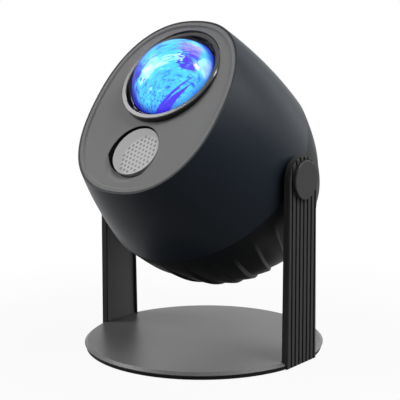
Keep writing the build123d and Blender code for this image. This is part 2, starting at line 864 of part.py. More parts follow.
star_axis = Plane(
    origin=FACE.origin + upward(face_elevation) * port_floor_rise, x_dir=(1, 0, 0), z_dir=FACE.z_dir
)
with BuildPart() as star_sleeve:
    turned(star_axis, [
        (sleeve_radius - sleeve_wall, -disc_back),
        (sleeve_radius, -disc_back),
        (sleeve_radius, -port_back),
        (port_floor_radius + port_wall, -port_back),
        (port_floor_radius + port_wall, -port_back - sleeve_wall),
        (sleeve_radius, -port_back - sleeve_wall),
        (sleeve_radius, -sleeve_back),
        (module_radius, -sleeve_back),
        (module_radius, -sleeve_back + sleeve_floor),
        (sleeve_radius - sleeve_wall, -sleeve_back + sleeve_floor),
    ])
star_sleeve.part.label = "star_sleeve"
export_step(star_sleeve.part, "parts/star_sleeve.step")

with BuildPart() as star_module:
    rod(star_axis, module_radius, -module_back, -module_front)
    window_floor = -module_front - module_window_depth
    rod(star_axis, module_window_radius, window_floor, -module_front, mode=Mode.SUBTRACT)
star_module.part.label = "star_module"
export_step(star_module.part, "parts/star_module.step")


# ==== lamp and turning dome ====
ear_sites = ring_sites(ear_reach, ear_angles)
sink_sites = ring_sites(sink_boss_reach, sink_boss_angles)
wheel_bore = barrel_radius + running_gap
ear_front = chassis_thickness + ear_thickness
barrel_end = barrel_front + wheel_end_gap
lens_stop_front = lens_stop_back + lens_stop_thickness

with BuildPart() as optics_barrel:
    turned(LENS, [
        (barrel_bore, barrel_back),
        (barrel_radius, barrel_back),
        (barrel_radius, chassis_thickness),
        (barrel_collar_radius, chassis_thickness),
        (barrel_collar_radius, ear_front),
        (barrel_radius, ear_front),
        (barrel_radius, barrel_shoulder_back),
        (barrel_shoulder_radius, barrel_shoulder_back),
        (barrel_shoulder_radius, gear_back - wheel_end_gap),
        (barrel_radius, gear_back - wheel_end_gap),
        (barrel_radius, barrel_end),
        (barrel_bore, barrel_end),
        (barrel_bore, lens_stop_front),
        (lens_stop_bore, lens_stop_front),
        (lens_stop_bore, lens_stop_back),
        (barrel_bore, lens_stop_back),
    ])
    rod(LENS, ear_radius, chassis_thickness, ear_front, ear_sites)
    rod(LENS, screw_radius, chassis_thickness, ear_front, ear_sites, mode=Mode.SUBTRACT)
optics_barrel.part.label = "optics_barrel"
export_step(optics_barrel.part, "parts/optics_barrel.step")

condenser_back = lens_stop_back - condenser_edge
with BuildPart() as condenser_lens:
    with BuildSketch(side_of(LENS)):
        with BuildLine():
            crown = (0, condenser_back - condenser_sag)
            reach = dome_radius(condenser_radius, condenser_sag)
            middle = condenser_radius * 0.6
            drop = reach - (reach * reach - middle * middle) ** 0.5
            ThreePointArc(crown, (middle, crown[1] + drop), (condenser_radius, condenser_back))
            Polyline(
                (condenser_radius, condenser_back),
                (condenser_radius, lens_stop_back),
                (0, lens_stop_back),
                crown,
            )
        make_face()
    revolve(axis=Axis(LENS.origin, LENS.z_dir))
condenser_lens.part.label = "condenser_lens"
export_step(condenser_lens.part, "parts/condenser_lens.step")

with BuildPart() as lens_retainer:
    clip_front = condenser_back - clip_gap
    clip_back = clip_front - clip_thickness
    turned(LENS, [
        (barrel_bore - clip_width, clip_back),
        (barrel_bore, clip_back),
        (barrel_bore, clip_front),
        (barrel_bore - clip_width, clip_front),
    ])
lens_retainer.part.label = "lens_retainer"
export_step(lens_retainer.part, "parts/lens_retainer.step")

with BuildPart() as wheel_retainer:
    turned(LENS, [
        (barrel_bore, barrel_end),
        (retainer_radius, barrel_end),
        (retainer_radius, barrel_end + retainer_thickness),
        (barrel_bore, barrel_end + retainer_thickness),
    ])
wheel_retainer.part.label = "wheel_retainer"
export_step(wheel_retainer.part, "parts/wheel_retainer.step")

nebula_radius = lens_inner_radius - nebula_gap
nebula_inner = nebula_radius - nebula_wall
nebula_shoulder = lens_base - nebula_shoulder_drop
nebula_sag = lens_base + lens_inner_sag - nebula_crown_gap - nebula_shoulder
with BuildPart() as nebula_dome:
    with BuildSketch(side_of(LENS)):
        with BuildLine():
            crown = (0, nebula_shoulder + nebula_sag)
            under_crown = (0, nebula_shoulder + nebula_sag - nebula_wall)
            ThreePointArc(
                (nebula_radius, nebula_shoulder),
                dome_point(nebula_radius, nebula_sag, nebula_shoulder, nebula_radius * 0.6),
                crown,
            )
            Line(crown, under_crown)
            ThreePointArc(
                under_crown,
                dome_point(nebula_inner, nebula_sag - nebula_wall, nebula_shoulder, nebula_inner * 0.6),
                (nebula_inner, nebula_shoulder),
            )
            Polyline(
                (nebula_inner, nebula_shoulder),
                (nebula_inner, barrel_front),
                (wheel_bore, barrel_front),
                (wheel_bore, gear_front),
                (nebula_base_radius, gear_front),
                (nebula_base_radius, barrel_front),
                (nebula_radius, barrel_front),
                (nebula_radius, nebula_shoulder),
            )
        make_face()
    revolve(axis=Axis(LENS.origin, LENS.z_dir))
nebula_dome.part.label = "nebula_dome"
export_step(nebula_dome.part, "parts/nebula_dome.step")

wheel_turn = motor_angle % (360 / wheel_teeth)
centre_distance = gear_module * (wheel_teeth + pinion_teeth) / 2
pinion_turn = motor_angle + 180 + 180 / pinion_teeth
motor_x, motor_y = ring_sites(centre_distance, (motor_angle,))[0]
motor_centre = LENS.from_local_coords(Vector(motor_x, motor_y, 0))
MOTOR = Plane(origin=motor_centre, x_dir=(1, 0, 0), z_dir=LENS.z_dir)

with BuildPart() as wheel_gear:
    extrude(gear_outline(LENS.offset(gear_back), wheel_teeth, wheel_turn), amount=gear_front - gear_back)
    rod(LENS, wheel_bore, gear_back - overcut, gear_front + overcut, mode=Mode.SUBTRACT)
wheel_gear.part.label = "wheel_gear"
export_step(wheel_gear.part, "parts/wheel_gear.step")

with BuildPart() as motor_pinion:
    pinion_back = MOTOR.offset(gear_back - pinion_overhang)
    extrude(gear_outline(pinion_back, pinion_teeth, pinion_turn), amount=gear_width + 2 * pinion_overhang)
    rod(MOTOR, motor_shaft_radius, motor_front - shaft_insertion, gear_front + shaft_tip)
motor_pinion.part.label = "motor_pinion"
export_step(motor_pinion.part, "parts/motor_pinion.step")

with BuildPart() as drive_motor:
    rod(MOTOR, motor_radius, motor_back, motor_front)
    shaft_floor = motor_front - shaft_insertion - shaft_end_gap
    rod(MOTOR, motor_shaft_radius + shaft_gap, shaft_floor, motor_front + overcut, mode=Mode.SUBTRACT)
drive_motor.part.label = "drive_motor"
export_step(drive_motor.part, "parts/drive_motor.step")

with BuildPart() as heat_sink:
    rod(LENS, sink_radius, barrel_back - sink_thickness, barrel_back)
    for fin in range(fin_count):
        x = (fin - (fin_count - 1) / 2) * fin_pitch
        length = 2 * ((sink_radius - fin_inset) ** 2 - x * x) ** 0.5
        block(LENS, fin_thickness, length, sink_back, barrel_back - sink_thickness, ((x, 0),))
    fin_root = barrel_back - sink_thickness
    rod(LENS, screw_head_radius + screw_head_clearance, sink_back, fin_root, sink_sites, Mode.SUBTRACT)
    rod(LENS, screw_radius, sink_back, barrel_back + overcut, sink_sites, Mode.SUBTRACT)
heat_sink.part.label = "heat_sink"
export_step(heat_sink.part, "parts/heat_sink.step")

with BuildPart() as lamp_board:
    rod(LENS, lamp_board_radius, barrel_back, barrel_back + lamp_board_thickness)
lamp_board.part.label = "lamp_board"
export_step(lamp_board.part, "parts/lamp_board.step")

lamp_base = barrel_back + lamp_board_thickness
with BuildPart() as lamp_emitter:
    turned(LENS, [
        (0, lamp_base),
        (lamp_radius, lamp_base),
        (lamp_radius, lamp_base + lamp_height / 2),
        (lamp_radius * lamp_top_share, lamp_base + lamp_height),
        (0, lamp_base + lamp_height),
    ])
lamp_emitter.part.label = "lamp_emitter"
export_step(lamp_emitter.part, "parts/lamp_emitter.step")


# ==== chassis and rear ====
block_middle = (shaft_start + collar_start) / 2
block_sites = ((block_middle, 0), (-block_middle, 0))

with BuildPart() as head_chassis:
    rod(BODY, chassis_radius, 0, chassis_thickness)
    block(HEAD, collar_start - shaft_start, 2 * block_half, -block_half, block_half, block_sites)
    rod(LENS, ear_radius, barrel_back, 0, sink_sites)
    rod(MOTOR, cup_radius, 0, cup_front)
    rod(MOTOR, motor_radius, motor_back, cup_front + overcut, mode=Mode.SUBTRACT)
    rod(LENS, barrel_radius, barrel_back - overcut, chassis_thickness + overcut, mode=Mode.SUBTRACT)
    rod(LENS, screw_radius, barrel_back - overcut, sink_screw_tip, sink_sites, Mode.SUBTRACT)
    rod(LENS, screw_radius, barrel_screw_tip, chassis_thickness + overcut, ear_sites, Mode.SUBTRACT)
    rod(BODY, screw_radius, -overcut, chassis_thickness + overcut, post_sites, mode=Mode.SUBTRACT)
    for side in (1, -1):
        rod(sideways(side), shaft_radius, shaft_start - overcut, collar_start, mode=Mode.SUBTRACT)
        rod(sideways(side), shaft_hole_radius, collar_start, cap_face, mode=Mode.SUBTRACT)
head_chassis.part.label = "head_chassis"
export_step(head_chassis.part, "parts/head_chassis.step")

with BuildPart() as chassis_posts:
    rod(BODY, standoff_radius, -shell_boss_front, 0, standoff_sites)
    rod(BODY, screw_radius, -shell_boss_front - overcut, post_screw_tip, standoff_sites, Mode.SUBTRACT)
chassis_posts.part.label = "chassis_posts"
export_step(chassis_posts.part, "parts/chassis_posts.step")

with BuildPart() as chassis_screws:
    screw_set(BODY, post_sites, 0, chassis_screw_grip)
chassis_screws.part.label = "chassis_screws"
export_step(chassis_screws.part, "parts/chassis_screws.step")

with BuildPart() as barrel_screws:
    screw_set(LENS, ear_sites, ear_front, barrel_screw_tip)
barrel_screws.part.label = "barrel_screws"
export_step(barrel_screws.part, "parts/barrel_screws.step")

with BuildPart() as sink_screws:
    screw_set(LENS, sink_sites, barrel_back - sink_thickness, sink_screw_tip)
sink_screws.part.label = "sink_screws"
export_step(sink_screws.part, "parts/sink_screws.step")

with BuildPart() as shell_screws:
    screw_set(BODY, standoff_sites, shell_screw_seat, post_screw_tip)
shell_screws.part.label = "shell_screws"
export_step(shell_screws.part, "parts/shell_screws.step")

panel_outer = -rear_length
panel_seat = panel_outer + panel_recess
panel_inner = panel_plug_setback - back_inner
board_back = board_front - board_thickness
button_names = ("mode", "power", "light")
button_sites = [((index - 1) * button_spread, button_rise) for index in range(len(button_names))]

with BuildPart() as rear_panel:
    rod(BODY, panel_radius, panel_outer, panel_seat)
    rod(BODY, panel_plug_radius, panel_seat, panel_inner)
    rod(BODY, pillar_radius, panel_inner, board_back, pillar_sites)
    rod(BODY, pillar_pin_radius, board_back, board_front + pillar_pin_proud, pillar_sites)
    through = (panel_outer - overcut, panel_inner + overcut)
    rod(BODY, button_radius + button_gap, *through, button_sites, Mode.SUBTRACT)
    rod(BODY, inlet_barrel_radius, *through, inlet_site, Mode.SUBTRACT)
rear_panel.part.label = "rear_panel"
export_step(rear_panel.part, "parts/rear_panel.step")

with BuildPart() as control_board:
    rod(BODY, board_radius, board_back, board_front)
    rod(BODY, pillar_pin_radius, board_back - overcut, board_front + overcut, pillar_sites, Mode.SUBTRACT)
control_board.part.label = "control_board"
export_step(control_board.part, "parts/control_board.step")

switch_back = board_back - switch_height
with BuildPart() as button_switches:
    block(BODY, switch_side, switch_side, switch_back, board_back, button_sites)
    pocket_end = switch_back + switch_pocket_depth
    pocket_radius = button_stem_radius + button_gap
    rod(BODY, pocket_radius, switch_back - overcut, pocket_end, button_sites, Mode.SUBTRACT)
button_switches.part.label = "button_switches"
export_step(button_switches.part, "parts/button_switches.step")

for site, name in zip(button_sites, button_names):
    with BuildPart() as button:
        rod(BODY, button_radius, panel_outer - button_proud, panel_inner, (site,))
        fillet(button.edges().group_by(Axis(BODY.origin, BODY.z_dir))[0], button_edge_radius)
        flange_end = panel_inner + button_flange_thickness
        rod(BODY, button_radius + button_flange_width, panel_inner, flange_end, (site,))
        rod(BODY, button_stem_radius, flange_end, switch_back + button_stem_entry, (site,))
    button.part.label = f"{name}_button"
    export_step(button.part, f"parts/{name}_button.step")

with BuildPart() as power_inlet:
    rod(BODY, inlet_barrel_radius, panel_outer, panel_inner, inlet_site)
    block(BODY, inlet_width, inlet_height, panel_inner, board_back, inlet_site)
    socket_end = panel_outer + inlet_bore_depth
    rod(BODY, inlet_bore_radius, panel_outer - overcut, socket_end, inlet_site, Mode.SUBTRACT)
    rod(BODY, inlet_pin_radius, panel_outer + inlet_pin_setback, socket_end, inlet_site)
power_inlet.part.label = "power_inlet"
export_step(power_inlet.part, "parts/power_inlet.step")
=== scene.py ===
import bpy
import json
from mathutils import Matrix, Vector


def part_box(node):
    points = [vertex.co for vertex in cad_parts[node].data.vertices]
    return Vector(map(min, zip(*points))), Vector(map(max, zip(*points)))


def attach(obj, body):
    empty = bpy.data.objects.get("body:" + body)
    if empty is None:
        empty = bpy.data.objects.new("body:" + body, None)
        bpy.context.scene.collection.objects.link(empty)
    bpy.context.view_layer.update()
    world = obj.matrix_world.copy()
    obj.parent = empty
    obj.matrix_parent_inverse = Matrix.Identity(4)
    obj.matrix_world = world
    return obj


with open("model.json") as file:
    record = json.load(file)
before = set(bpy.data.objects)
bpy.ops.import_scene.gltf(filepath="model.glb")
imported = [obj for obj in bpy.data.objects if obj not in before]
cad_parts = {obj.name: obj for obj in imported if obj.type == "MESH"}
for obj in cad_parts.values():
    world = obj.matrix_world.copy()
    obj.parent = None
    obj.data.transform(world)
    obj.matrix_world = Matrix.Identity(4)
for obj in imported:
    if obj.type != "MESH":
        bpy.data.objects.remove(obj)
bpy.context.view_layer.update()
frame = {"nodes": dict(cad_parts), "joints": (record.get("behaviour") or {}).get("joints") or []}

import json
import logging
import math
from dataclasses import dataclass
from enum import Enum
from typing import Sequence

import bmesh
import bpy
from mathutils import Matrix, Vector

log = logging.getLogger("planetarium_projector")

MM = 0.001
WELD = 1e-6
FRAME_PIXELS = 400
SENSOR_WIDTH = 36.0

Colour = tuple[float, float, float]
Pair = tuple[float, float]
Triple = tuple[float, float, float]
Settings = dict[str, object]

JOINTS = {joint["name"]: joint for joint in frame["joints"]}
PIVOT = Vector(JOINTS["head_tilt"]["pos_m"])
HEAD_ELEVATION = math.degrees(math.asin(JOINTS["nebula_spin"]["axis"][2]))
FACE_ELEVATION = 38.2
FACE_REACH = 60.56
LENS_RISE = 23.4
PORT_RISE = -24.6
LENSLET_SHIFT = (6.3, -3.5)
LENSLET_FIELD_RADIUS = 14.2


def facing(elevation: float) -> Matrix:
    """Frame of a part of the head that looks towards -Y at an elevation.

    Args:
        elevation: Angle of its axis above the horizontal, in degrees.

    Returns:
        A rotation whose z is the axis and whose y points up along the part.
    """
    return Matrix.Rotation(math.radians(90.0 - elevation), 4, "X")


HEAD_FRAME = Matrix.Translation(PIVOT) @ facing(HEAD_ELEVATION)
FACE_FRAME = Matrix.Translation(PIVOT) @ facing(FACE_ELEVATION) @ Matrix.Translation((0, 0, FACE_REACH * MM))
LENS_FRAME = HEAD_FRAME @ Matrix.Translation((0, LENS_RISE * MM, 0))


class Side(Enum):
    """The two arms of the yoke, by the sign of their x."""

    RIGHT = 1
    LEFT = -1

    @property
    def word(self) -> str:
        """The side's name as the nodes spell it."""
        return self.name.lower()


class Wire:
    """An output socket whose arithmetic adds Math nodes to its tree."""

    def __init__(self, recipe: "Recipe", socket: bpy.types.NodeSocket | None) -> None:
        """Keep the recipe that owns the socket and the socket itself."""
        self.recipe = recipe
        self.socket = socket

    def sibling(self, output: str) -> "Wire":
        """Another output of the same node."""
        return Wire(self.recipe, self.socket.node.outputs[output])

    def _math(self, operation: str, first: "Wire | float", second: "Wire | float") -> "Wire":
        """Add one Math node on two terms."""
        return self.recipe.add("ShaderNodeMath", {"operation": operation}, {0: first, 1: second})

    def __add__(self, other: "Wire | float") -> "Wire":
        """Sum of two values."""
        return self._math("ADD", self, other)

    __radd__ = __add__

    def __sub__(self, other: "Wire | float") -> "Wire":
        """Difference of two values."""
        return self._math("SUBTRACT", self, other)

    def __rsub__(self, other: float) -> "Wire":
        """A number less this value."""
        return self._math("SUBTRACT", other, self)

    def __mul__(self, other: "Wire | float") -> "Wire":
        """Product of two values."""
        return self._math("MULTIPLY", self, other)

    __rmul__ = __mul__

    def __truediv__(self, other: "Wire | float") -> "Wire":
        """Quotient of two values."""
        return self._math("DIVIDE", self, other)

    def __pow__(self, other: float) -> "Wire":
        """This value raised to a power."""
        return self._math("POWER", self, other)

    def __abs__(self) -> "Wire":
        """Size of this value without its sign."""
        return self._math("ABSOLUTE", self, 0.0)

    def arc_cosine(self) -> "Wire":
        """Angle whose cosine this value is, in radians."""
        return self._math("ARCCOSINE", self, 0.0)

    def turn_from(self, across: "Wire") -> "Wire":
        """Angle in degrees of a point whose y is this value and whose x is another."""
        return self._math("ARCTAN2", self, across) * math.degrees(1.0)

    def at_most(self, other: "Wire | float") -> "Wire":
        """The smaller of two values."""
        return self._math("MINIMUM", self, other)

    def at_least(self, other: "Wire | float") -> "Wire":
        """The greater of two values."""
        return self._math("MAXIMUM", self, other)

    def eased(self, low: float, high: float) -> "Wire":
        """Smooth step of this value from a low to a high threshold.

        Args:
            low: Value at which the result is zero.
            high: Value at which the result is one; below the low one, the step falls.

        Returns:
            The eased value.
        """
        return self.recipe.add(
            "ShaderNodeMapRange",
            {"interpolation_type": "SMOOTHSTEP"},
            {"Value": self, "From Min": low, "From Max": high},
        )


def span(across: Wire, along: Wire) -> Wire:
    """Distance of a point from the origin of its plane."""
    return (across * across + along * along) ** 0.5


class Recipe:
    """The node tree of a material or of the world, filled through a single generic method."""

    def __init__(self, owner: bpy.types.Material | bpy.types.World) -> None:
        """Empty the owner's node tree.

        Args:
            owner: The material or world to fill.
        """
        owner.use_nodes = True
        self.owner = owner
        self.tree = owner.node_tree
        self.tree.nodes.clear()

    @classmethod
    def of_material(cls, name: str) -> "Recipe":
        """Start the recipe of a new material."""
        return cls(bpy.data.materials.new(name))

    def add(
        self,
        kind: str,
        settings: Settings | None = None,
        inputs: dict[str | int, object] | None = None,
        output: str | int = 0,
    ) -> Wire:
        """Add one node.

        Args:
            kind: The node's type name.
            settings: Attributes of the node, set before its sockets; "stops" fills a colour ramp.
            inputs: Socket names or numbers with a value or a Wire each.
            output: Name or number of the output to hand back.

        Returns:
            The chosen output as a Wire, without a socket if the node ends the tree.
        """
        node = self.tree.nodes.new(kind)
        for key, value in (settings or {}).items():
            if key == "stops":
                self._fill_ramp(node, value)
            else:
                setattr(node, key, value)
        for key, value in (inputs or {}).items():
            if isinstance(value, Wire):
                self.tree.links.new(value.socket, node.inputs[key])
            else:
                node.inputs[key].default_value = value
        return Wire(self, node.outputs[output] if node.outputs else None)

    @staticmethod
    def _fill_ramp(node: bpy.types.Node, stops: Sequence[tuple[float, Colour]]) -> None:
        """Give a colour ramp its stops.

        Args:
            node: The ramp's node.
            stops: Position and colour of each stop.
        """
        elements = node.color_ramp.elements
        while len(elements) < len(stops):
            elements.new(1.0)
        for element, (position, colour) in zip(elements, stops):
            element.position = position
            element.color = (*colour, 1.0)

    def place(self, frame_matrix: Matrix | None = None) -> Wire:
        """Point of the surface in metres, in the object's own frame or in another.

        Args:
            frame_matrix: The frame to measure in, or None for the object's.

        Returns:
            The point as a vector.
        """
        point = self.add("ShaderNodeTexCoord", output="Object")
        if frame_matrix is None:
            return point
        return self.add(
            "ShaderNodeMapping",
            {"vector_type": "TEXTURE"},
            {
                "Vector": point,
                "Location": frame_matrix.translation,
                "Rotation": frame_matrix.to_euler(),
            },
        )

    def place_in_mm(self, frame_matrix: Matrix) -> Wire:
        """Point of the surface in millimetres, in a frame."""
        inputs = {"Vector": self.place(frame_matrix), "Scale": 1.0 / MM}
        return self.add("ShaderNodeVectorMath", {"operation": "SCALE"}, inputs)

    def parts_of(self, vector: Wire) -> tuple[Wire, Wire, Wire]:
        """The x, y and z of a vector."""
        x = self.add("ShaderNodeSeparateXYZ", inputs={0: vector}, output="X")
        return x, x.sibling("Y"), x.sibling("Z")

    def vector(self, x: Wire | float, y: Wire | float, z: Wire | float) -> Wire:
        """A vector from three values."""
        return self.add("ShaderNodeCombineXYZ", inputs={0: x, 1: y, 2: z})

    def noise(self, point: Wire, scale: float, detail: float = 3.0, distortion: float = 0.0) -> Wire:
        """Noise value over a point.

        Args:
            point: Where the noise is read.
            scale: Waves per unit of the point.
            detail: Octaves.
            distortion: How far the noise warps itself.

        Returns:
            The noise, from zero to one.
        """
        return self.add(
            "ShaderNodeTexNoise",
            inputs={"Vector": point, "Scale": scale, "Detail": detail, "Distortion": distortion},
        )

    def blend(self, share: Wire | float, first: Colour | Wire, second: Colour | Wire) -> Wire:
        """Mix two colours.

        Args:
            share: Share of the second colour.
            first: Colour at zero.
            second: Colour at one.

        Returns:
            The mixed colour.
        """
        ends = [value if isinstance(value, Wire) else (*value, 1.0) for value in (first, second)]
        return self.add(
            "ShaderNodeMix",
            {"data_type": "RGBA"},
            {0: share, 6: ends[0], 7: ends[1]},
            output=2,
        )

    def bump(self, height: Wire, depth: float) -> Wire:
        """Normal of a relief.

        Args:
            height: Height of the relief, from zero to one.
            depth: Depth of the relief in millimetres.

        Returns:
            The bent normal.
        """
        return self.add("ShaderNodeBump", inputs={"Height": height, "Distance": depth * MM})

    def seen(self) -> Wire:
        """Mask of the rays that show a backdrop: camera, glossy and transmission rays.

        Returns:
            One for such a ray, else zero.
        """
        camera = self.add("ShaderNodeLightPath", output="Is Camera Ray")
        return camera.at_least(camera.sibling("Is Glossy Ray")).at_least(
            camera.sibling("Is Transmission Ray")
        )

    def finish(self, shader: Wire, output: str = "ShaderNodeOutputMaterial") -> object:
        """Join a shader to the output.

        Args:
            shader: The shader.
            output: Type name of the output node.

        Returns:
            The recipe's owner.
        """
        self.add(output, inputs={"Surface": shader})
        return self.owner


@dataclass(frozen=True)
class Moulded:
    """Moulded or painted surface with a fine grain and a faint unevenness of tone."""

    name: str
    colour: Colour
    roughness: float = 0.5
    grain: float = 0.02
    specular: float = 0.2
    unevenness: float = 0.05
    cloud_scale: float = 55.0
    cloud_gloss: float = 0.05
    grain_scale: float = 2600.0
    grain_gloss: float = 0.03

    def make(self) -> bpy.types.Material:
        """Build the material.

        Returns:
            The new material.
        """
        recipe = Recipe.of_material(self.name)
        point = recipe.place()
        cloud = recipe.noise(point, self.cloud_scale)
        dark = tuple(value * (1.0 - self.unevenness) for value in self.colour)
        light = tuple(value * (1.0 + self.unevenness) for value in self.colour)
        grain = recipe.noise(point, self.grain_scale, 2.0)
        mottle = self.cloud_gloss * (cloud - 0.5) + self.grain_gloss * (grain - 0.5)
        shader = recipe.add(
            "ShaderNodeBsdfPrincipled",
            inputs={
                "Base Color": recipe.blend(cloud, dark, light),
                "Roughness": self.roughness + mottle,
                "Specular IOR Level": self.specular,
                "Normal": recipe.bump(grain, self.grain),
            },
        )
        return recipe.finish(shader)


@dataclass(frozen=True)
class Turned:
    """Bare metal with the fine marks of a lathe or a brush."""

    name: str
    colour: Colour
    roughness: float = 0.3
    marks: float = 900.0
    mark_shape: Triple = (0.1, 0.1, 1.0)
    mark_depth: float = 0.01
    mark_gloss: float = 0.12
    darkest: float = 0.9

    def make(self) -> bpy.types.Material:
        """Build the material.

        Returns:
            The new material.
        """
        recipe = Recipe.of_material(self.name)
        point = recipe.place(HEAD_FRAME)
        stretched = recipe.add(
            "ShaderNodeVectorMath", {"operation": "MULTIPLY"}, {0: point, 1: self.mark_shape}
        )
        marks = recipe.noise(stretched, self.marks, 2.0)
        dark = tuple(value * self.darkest for value in self.colour)
        shader = recipe.add(
            "ShaderNodeBsdfPrincipled",
            inputs={
                "Base Color": recipe.blend(marks, dark, self.colour),
                "Metallic": 1.0,
                "Roughness": self.roughness + self.mark_gloss * (marks - 0.5),
                "Normal": recipe.bump(marks, self.mark_depth),
            },
        )
        return recipe.finish(shader)


@dataclass(frozen=True)
class ClearGlass:
    """Thin clear glass: it lets light straight through and mirrors a little of it."""

    name: str
    mirror: float = 0.018
    rim_mirror: float = 0.02
    rim_power: float = 4.0
    blur: float = 0.05
    smear: float = 0.04
    smear_scale: float = 120.0

    def make(self) -> bpy.types.Material:
        """Build the material.

        Returns:
            The new material.
        """
        recipe = Recipe.of_material(self.name)
        facing_away = recipe.add("ShaderNodeLayerWeight", inputs={"Blend": 0.5}, output="Facing")
        smear = recipe.noise(recipe.place(), self.smear_scale, 4.0)
        clear = recipe.add("ShaderNodeBsdfTransparent")
        gloss = recipe.add("ShaderNodeBsdfGlossy", inputs={"Roughness": self.blur + self.smear * smear})
        share = self.mirror + self.rim_mirror * facing_away**self.rim_power
        return recipe.finish(recipe.add("ShaderNodeMixShader", inputs={0: share, 1: clear, 2: gloss}))


@dataclass(frozen=True)
class Brushwork:
    """Places on the nebula dome, and the marks of a brush that went round its swirl.

    Lengths are in mm: x and y lie across the dome's axis and height along it, and the arc is the
    way over the surface from the middle of the swirl. The turn round that middle is in degrees.
    The strokes and their finer bristles are noise about zero, long where the brush went.
    """

    recipe: Recipe
    point: Wire
    x: Wire
    y: Wire
    height: Wire
    arc: Wire
    turn: Wire
    along: Wire
    stroke: Wire
    bristle: Wire


@dataclass(frozen=True)
class NebulaFilm:
    """Glowing dome painted with strokes of cyan that swirl round a point low on its right side.

    Pairs such as crest_and_reflection_start hold the values at which a smooth step is zero and one. A ragged
    value is how far the brush marks push that step about.
    """

    name: str
    glow: float = 1.0
    body: float = 0.10
    roughness: float = 0.4
    bristle_gloss: float = 0.1
    specular: float = 0.1
    relief: float = 0.3

    navy: Colour = (0.002, 0.003, 0.10)
    deep: Colour = (0.006, 0.008, 0.48)
    blue: Colour = (0.018, 0.075, 0.98)
    azure: Colour = (0.025, 0.27, 1.0)
    cyan: Colour = (0.075, 0.60, 1.0)
    bright: Colour = (0.075, 0.76, 1.0)
    # The palest colour, for the film's palest strokes and for the painted reflection in the pale arc.
    pale: Colour = (0.50, 0.95, 1.0)
    rim: Colour = (0.020, 0.014, 0.62)
    violet: Colour = (0.070, 0.035, 1.0)
    lilac: Colour = (0.26, 0.20, 1.0)

    sphere_radius: float = 28.89
    sphere_middle: float = 50.41
    swirl: Triple = (0.595, -0.714, 0.367)
    least_reach: float = 0.1
    most_cosine: float = 0.999
    stroke_waves: Pair = (4.2, 0.62)
    bristle_waves: Pair = (9.0, 1.5)
    stroke_warp: float = 0.4
    fine_warp: float = 0.3

    colour_places: tuple[float, ...] = (0.05, 0.22, 0.38, 0.54, 0.84, 1.0)
    base_light: float = 0.60
    cloud_light: float = 0.45
    cloud_scale: float = 0.09
    stroke_light: float = 1.25
    bristle_light: float = 0.5
    patch_dark: float = 0.5
    patch_middle: Pair = (-12.5, -9.0)
    patch_edge: Pair = (10.0, 3.0)
    patch_ragged: float = 8.0
    far_dark: float = 0.10
    far_start: Pair = (38.0, 52.0)

    # The pale arc below holds the film's own pale strokes and a painted reflection of a lamp on the glass.
    crest_and_reflection_light: float = 0.38
    crest_and_reflection_arc: float = 28.5
    crest_and_reflection_edge: Pair = (6.5, 1.0)
    crest_and_reflection_start: Pair = (48.0, 66.0)
    crest_and_reflection_end: Pair = (140.0, 112.0)
    crest_and_reflection_edge_ragged: float = 4.0
    crest_and_reflection_end_ragged: float = 60.0

    dab_share: float = 0.8
    dab_scale: float = 1.7
    dab_edge: Pair = (0.56, 0.61)
    dab_start: Pair = (96.0, 122.0)
    dab_start_ragged: float = 30.0
    dab_far: Pair = (33.0, 26.0)
    dab_far_ragged: float = 6.0

    wedge_start: Pair = (30.0, 35.0)
    wedge_start_ragged: float = 0.4
    wedge_end: Pair = (62.0, 59.5)
    wedge_spikes: Pair = (30.0, 26.0)
    wedge_near: Pair = (20.5, 22.0)
    wedge_near_ragged: float = 4.0
    wedge_far: Pair = (46.0, 42.0)
    wedge_far_ragged: float = 14.0
    wedge_band_scale: float = 1.35
    wedge_band: Pair = (0.36, 0.44)
    wedge_stroke: Pair = (0.02, 0.10)
    lilac_start: Pair = (32.0, 37.0)
    lilac_ragged: float = 16.0

    bow_middle: Pair = (-23.0, 15.0)
    bow_ragged: float = 0.8
    streaks: tuple[Triple, Triple] = ((49.8, 0.5, -4.0), (51.5, 1.0, -8.0))
    streak_foot: float = -25.0
    streak_least: float = 0.12
    streak_edge: Pair = (0.18, -0.12)
    streak_top: Pair = (1.5, -2.5)

    edge_share: float = 0.9
    edge_start: Pair = (23.4, 26.6)
    edge_ragged: float = 2.2
    edge_lean: Pair = (-0.05, 0.04)
    edge_change: Pair = (-6.0, 18.0)
    front: Triple = (0.68, -0.25, 0.69)
    # painted shade: where the deep-blue band starts and ends on the side of the dome that turns away from the
    # front
    limb_shade_start: Pair = (0.46, 0.20)
    limb_shade_end: Pair = (-0.40, -0.12)
    limb_shade_ragged: float = 0.12
    foot: Pair = (60.4, 58.8)

    def swirl_frame(self) -> Matrix:
        """Place the swirl.

        Returns:
            Frame at the middle of the dome's sphere whose z runs through the swirl's middle.
        """
        axis = Vector(self.swirl).normalized()
        side = Vector((0.0, 0.0, 1.0)).cross(axis).normalized()
        turn = Matrix((side, axis.cross(side), axis)).transposed().to_4x4()
        return LENS_FRAME @ Matrix.Translation((0.0, 0.0, self.sphere_middle * MM)) @ turn

    def lay_brushwork(self, recipe: Recipe) -> Brushwork:
        """Measure the dome round its swirl and lay the brush marks.

        Args:
            recipe: The material's recipe.

        Returns:
            The places and the marks.
        """
        point = recipe.place_in_mm(LENS_FRAME)
        x, y, height = recipe.parts_of(point)
        u, v, w = recipe.parts_of(recipe.place_in_mm(self.swirl_frame()))
        reach = span(u, v).at_least(self.least_reach)
        arc = (w / self.sphere_radius).at_most(self.most_cosine).arc_cosine() * self.sphere_radius
        lengths = [
            recipe.vector(u / reach * round_waves, v / reach * round_waves, arc * outward_waves)
            for round_waves, outward_waves in (self.stroke_waves, self.bristle_waves)
        ]
        return Brushwork(
            recipe,
            point,
            x,
            y,
            height,
            arc,
            turn=v.turn_from(u),
            along=lengths[0],
            stroke=recipe.noise(lengths[0], 1.0, 2.0, self.stroke_warp) - 0.5,
            bristle=recipe.noise(lengths[1], 1.0, 2.0, self.fine_warp) - 0.5,
        )

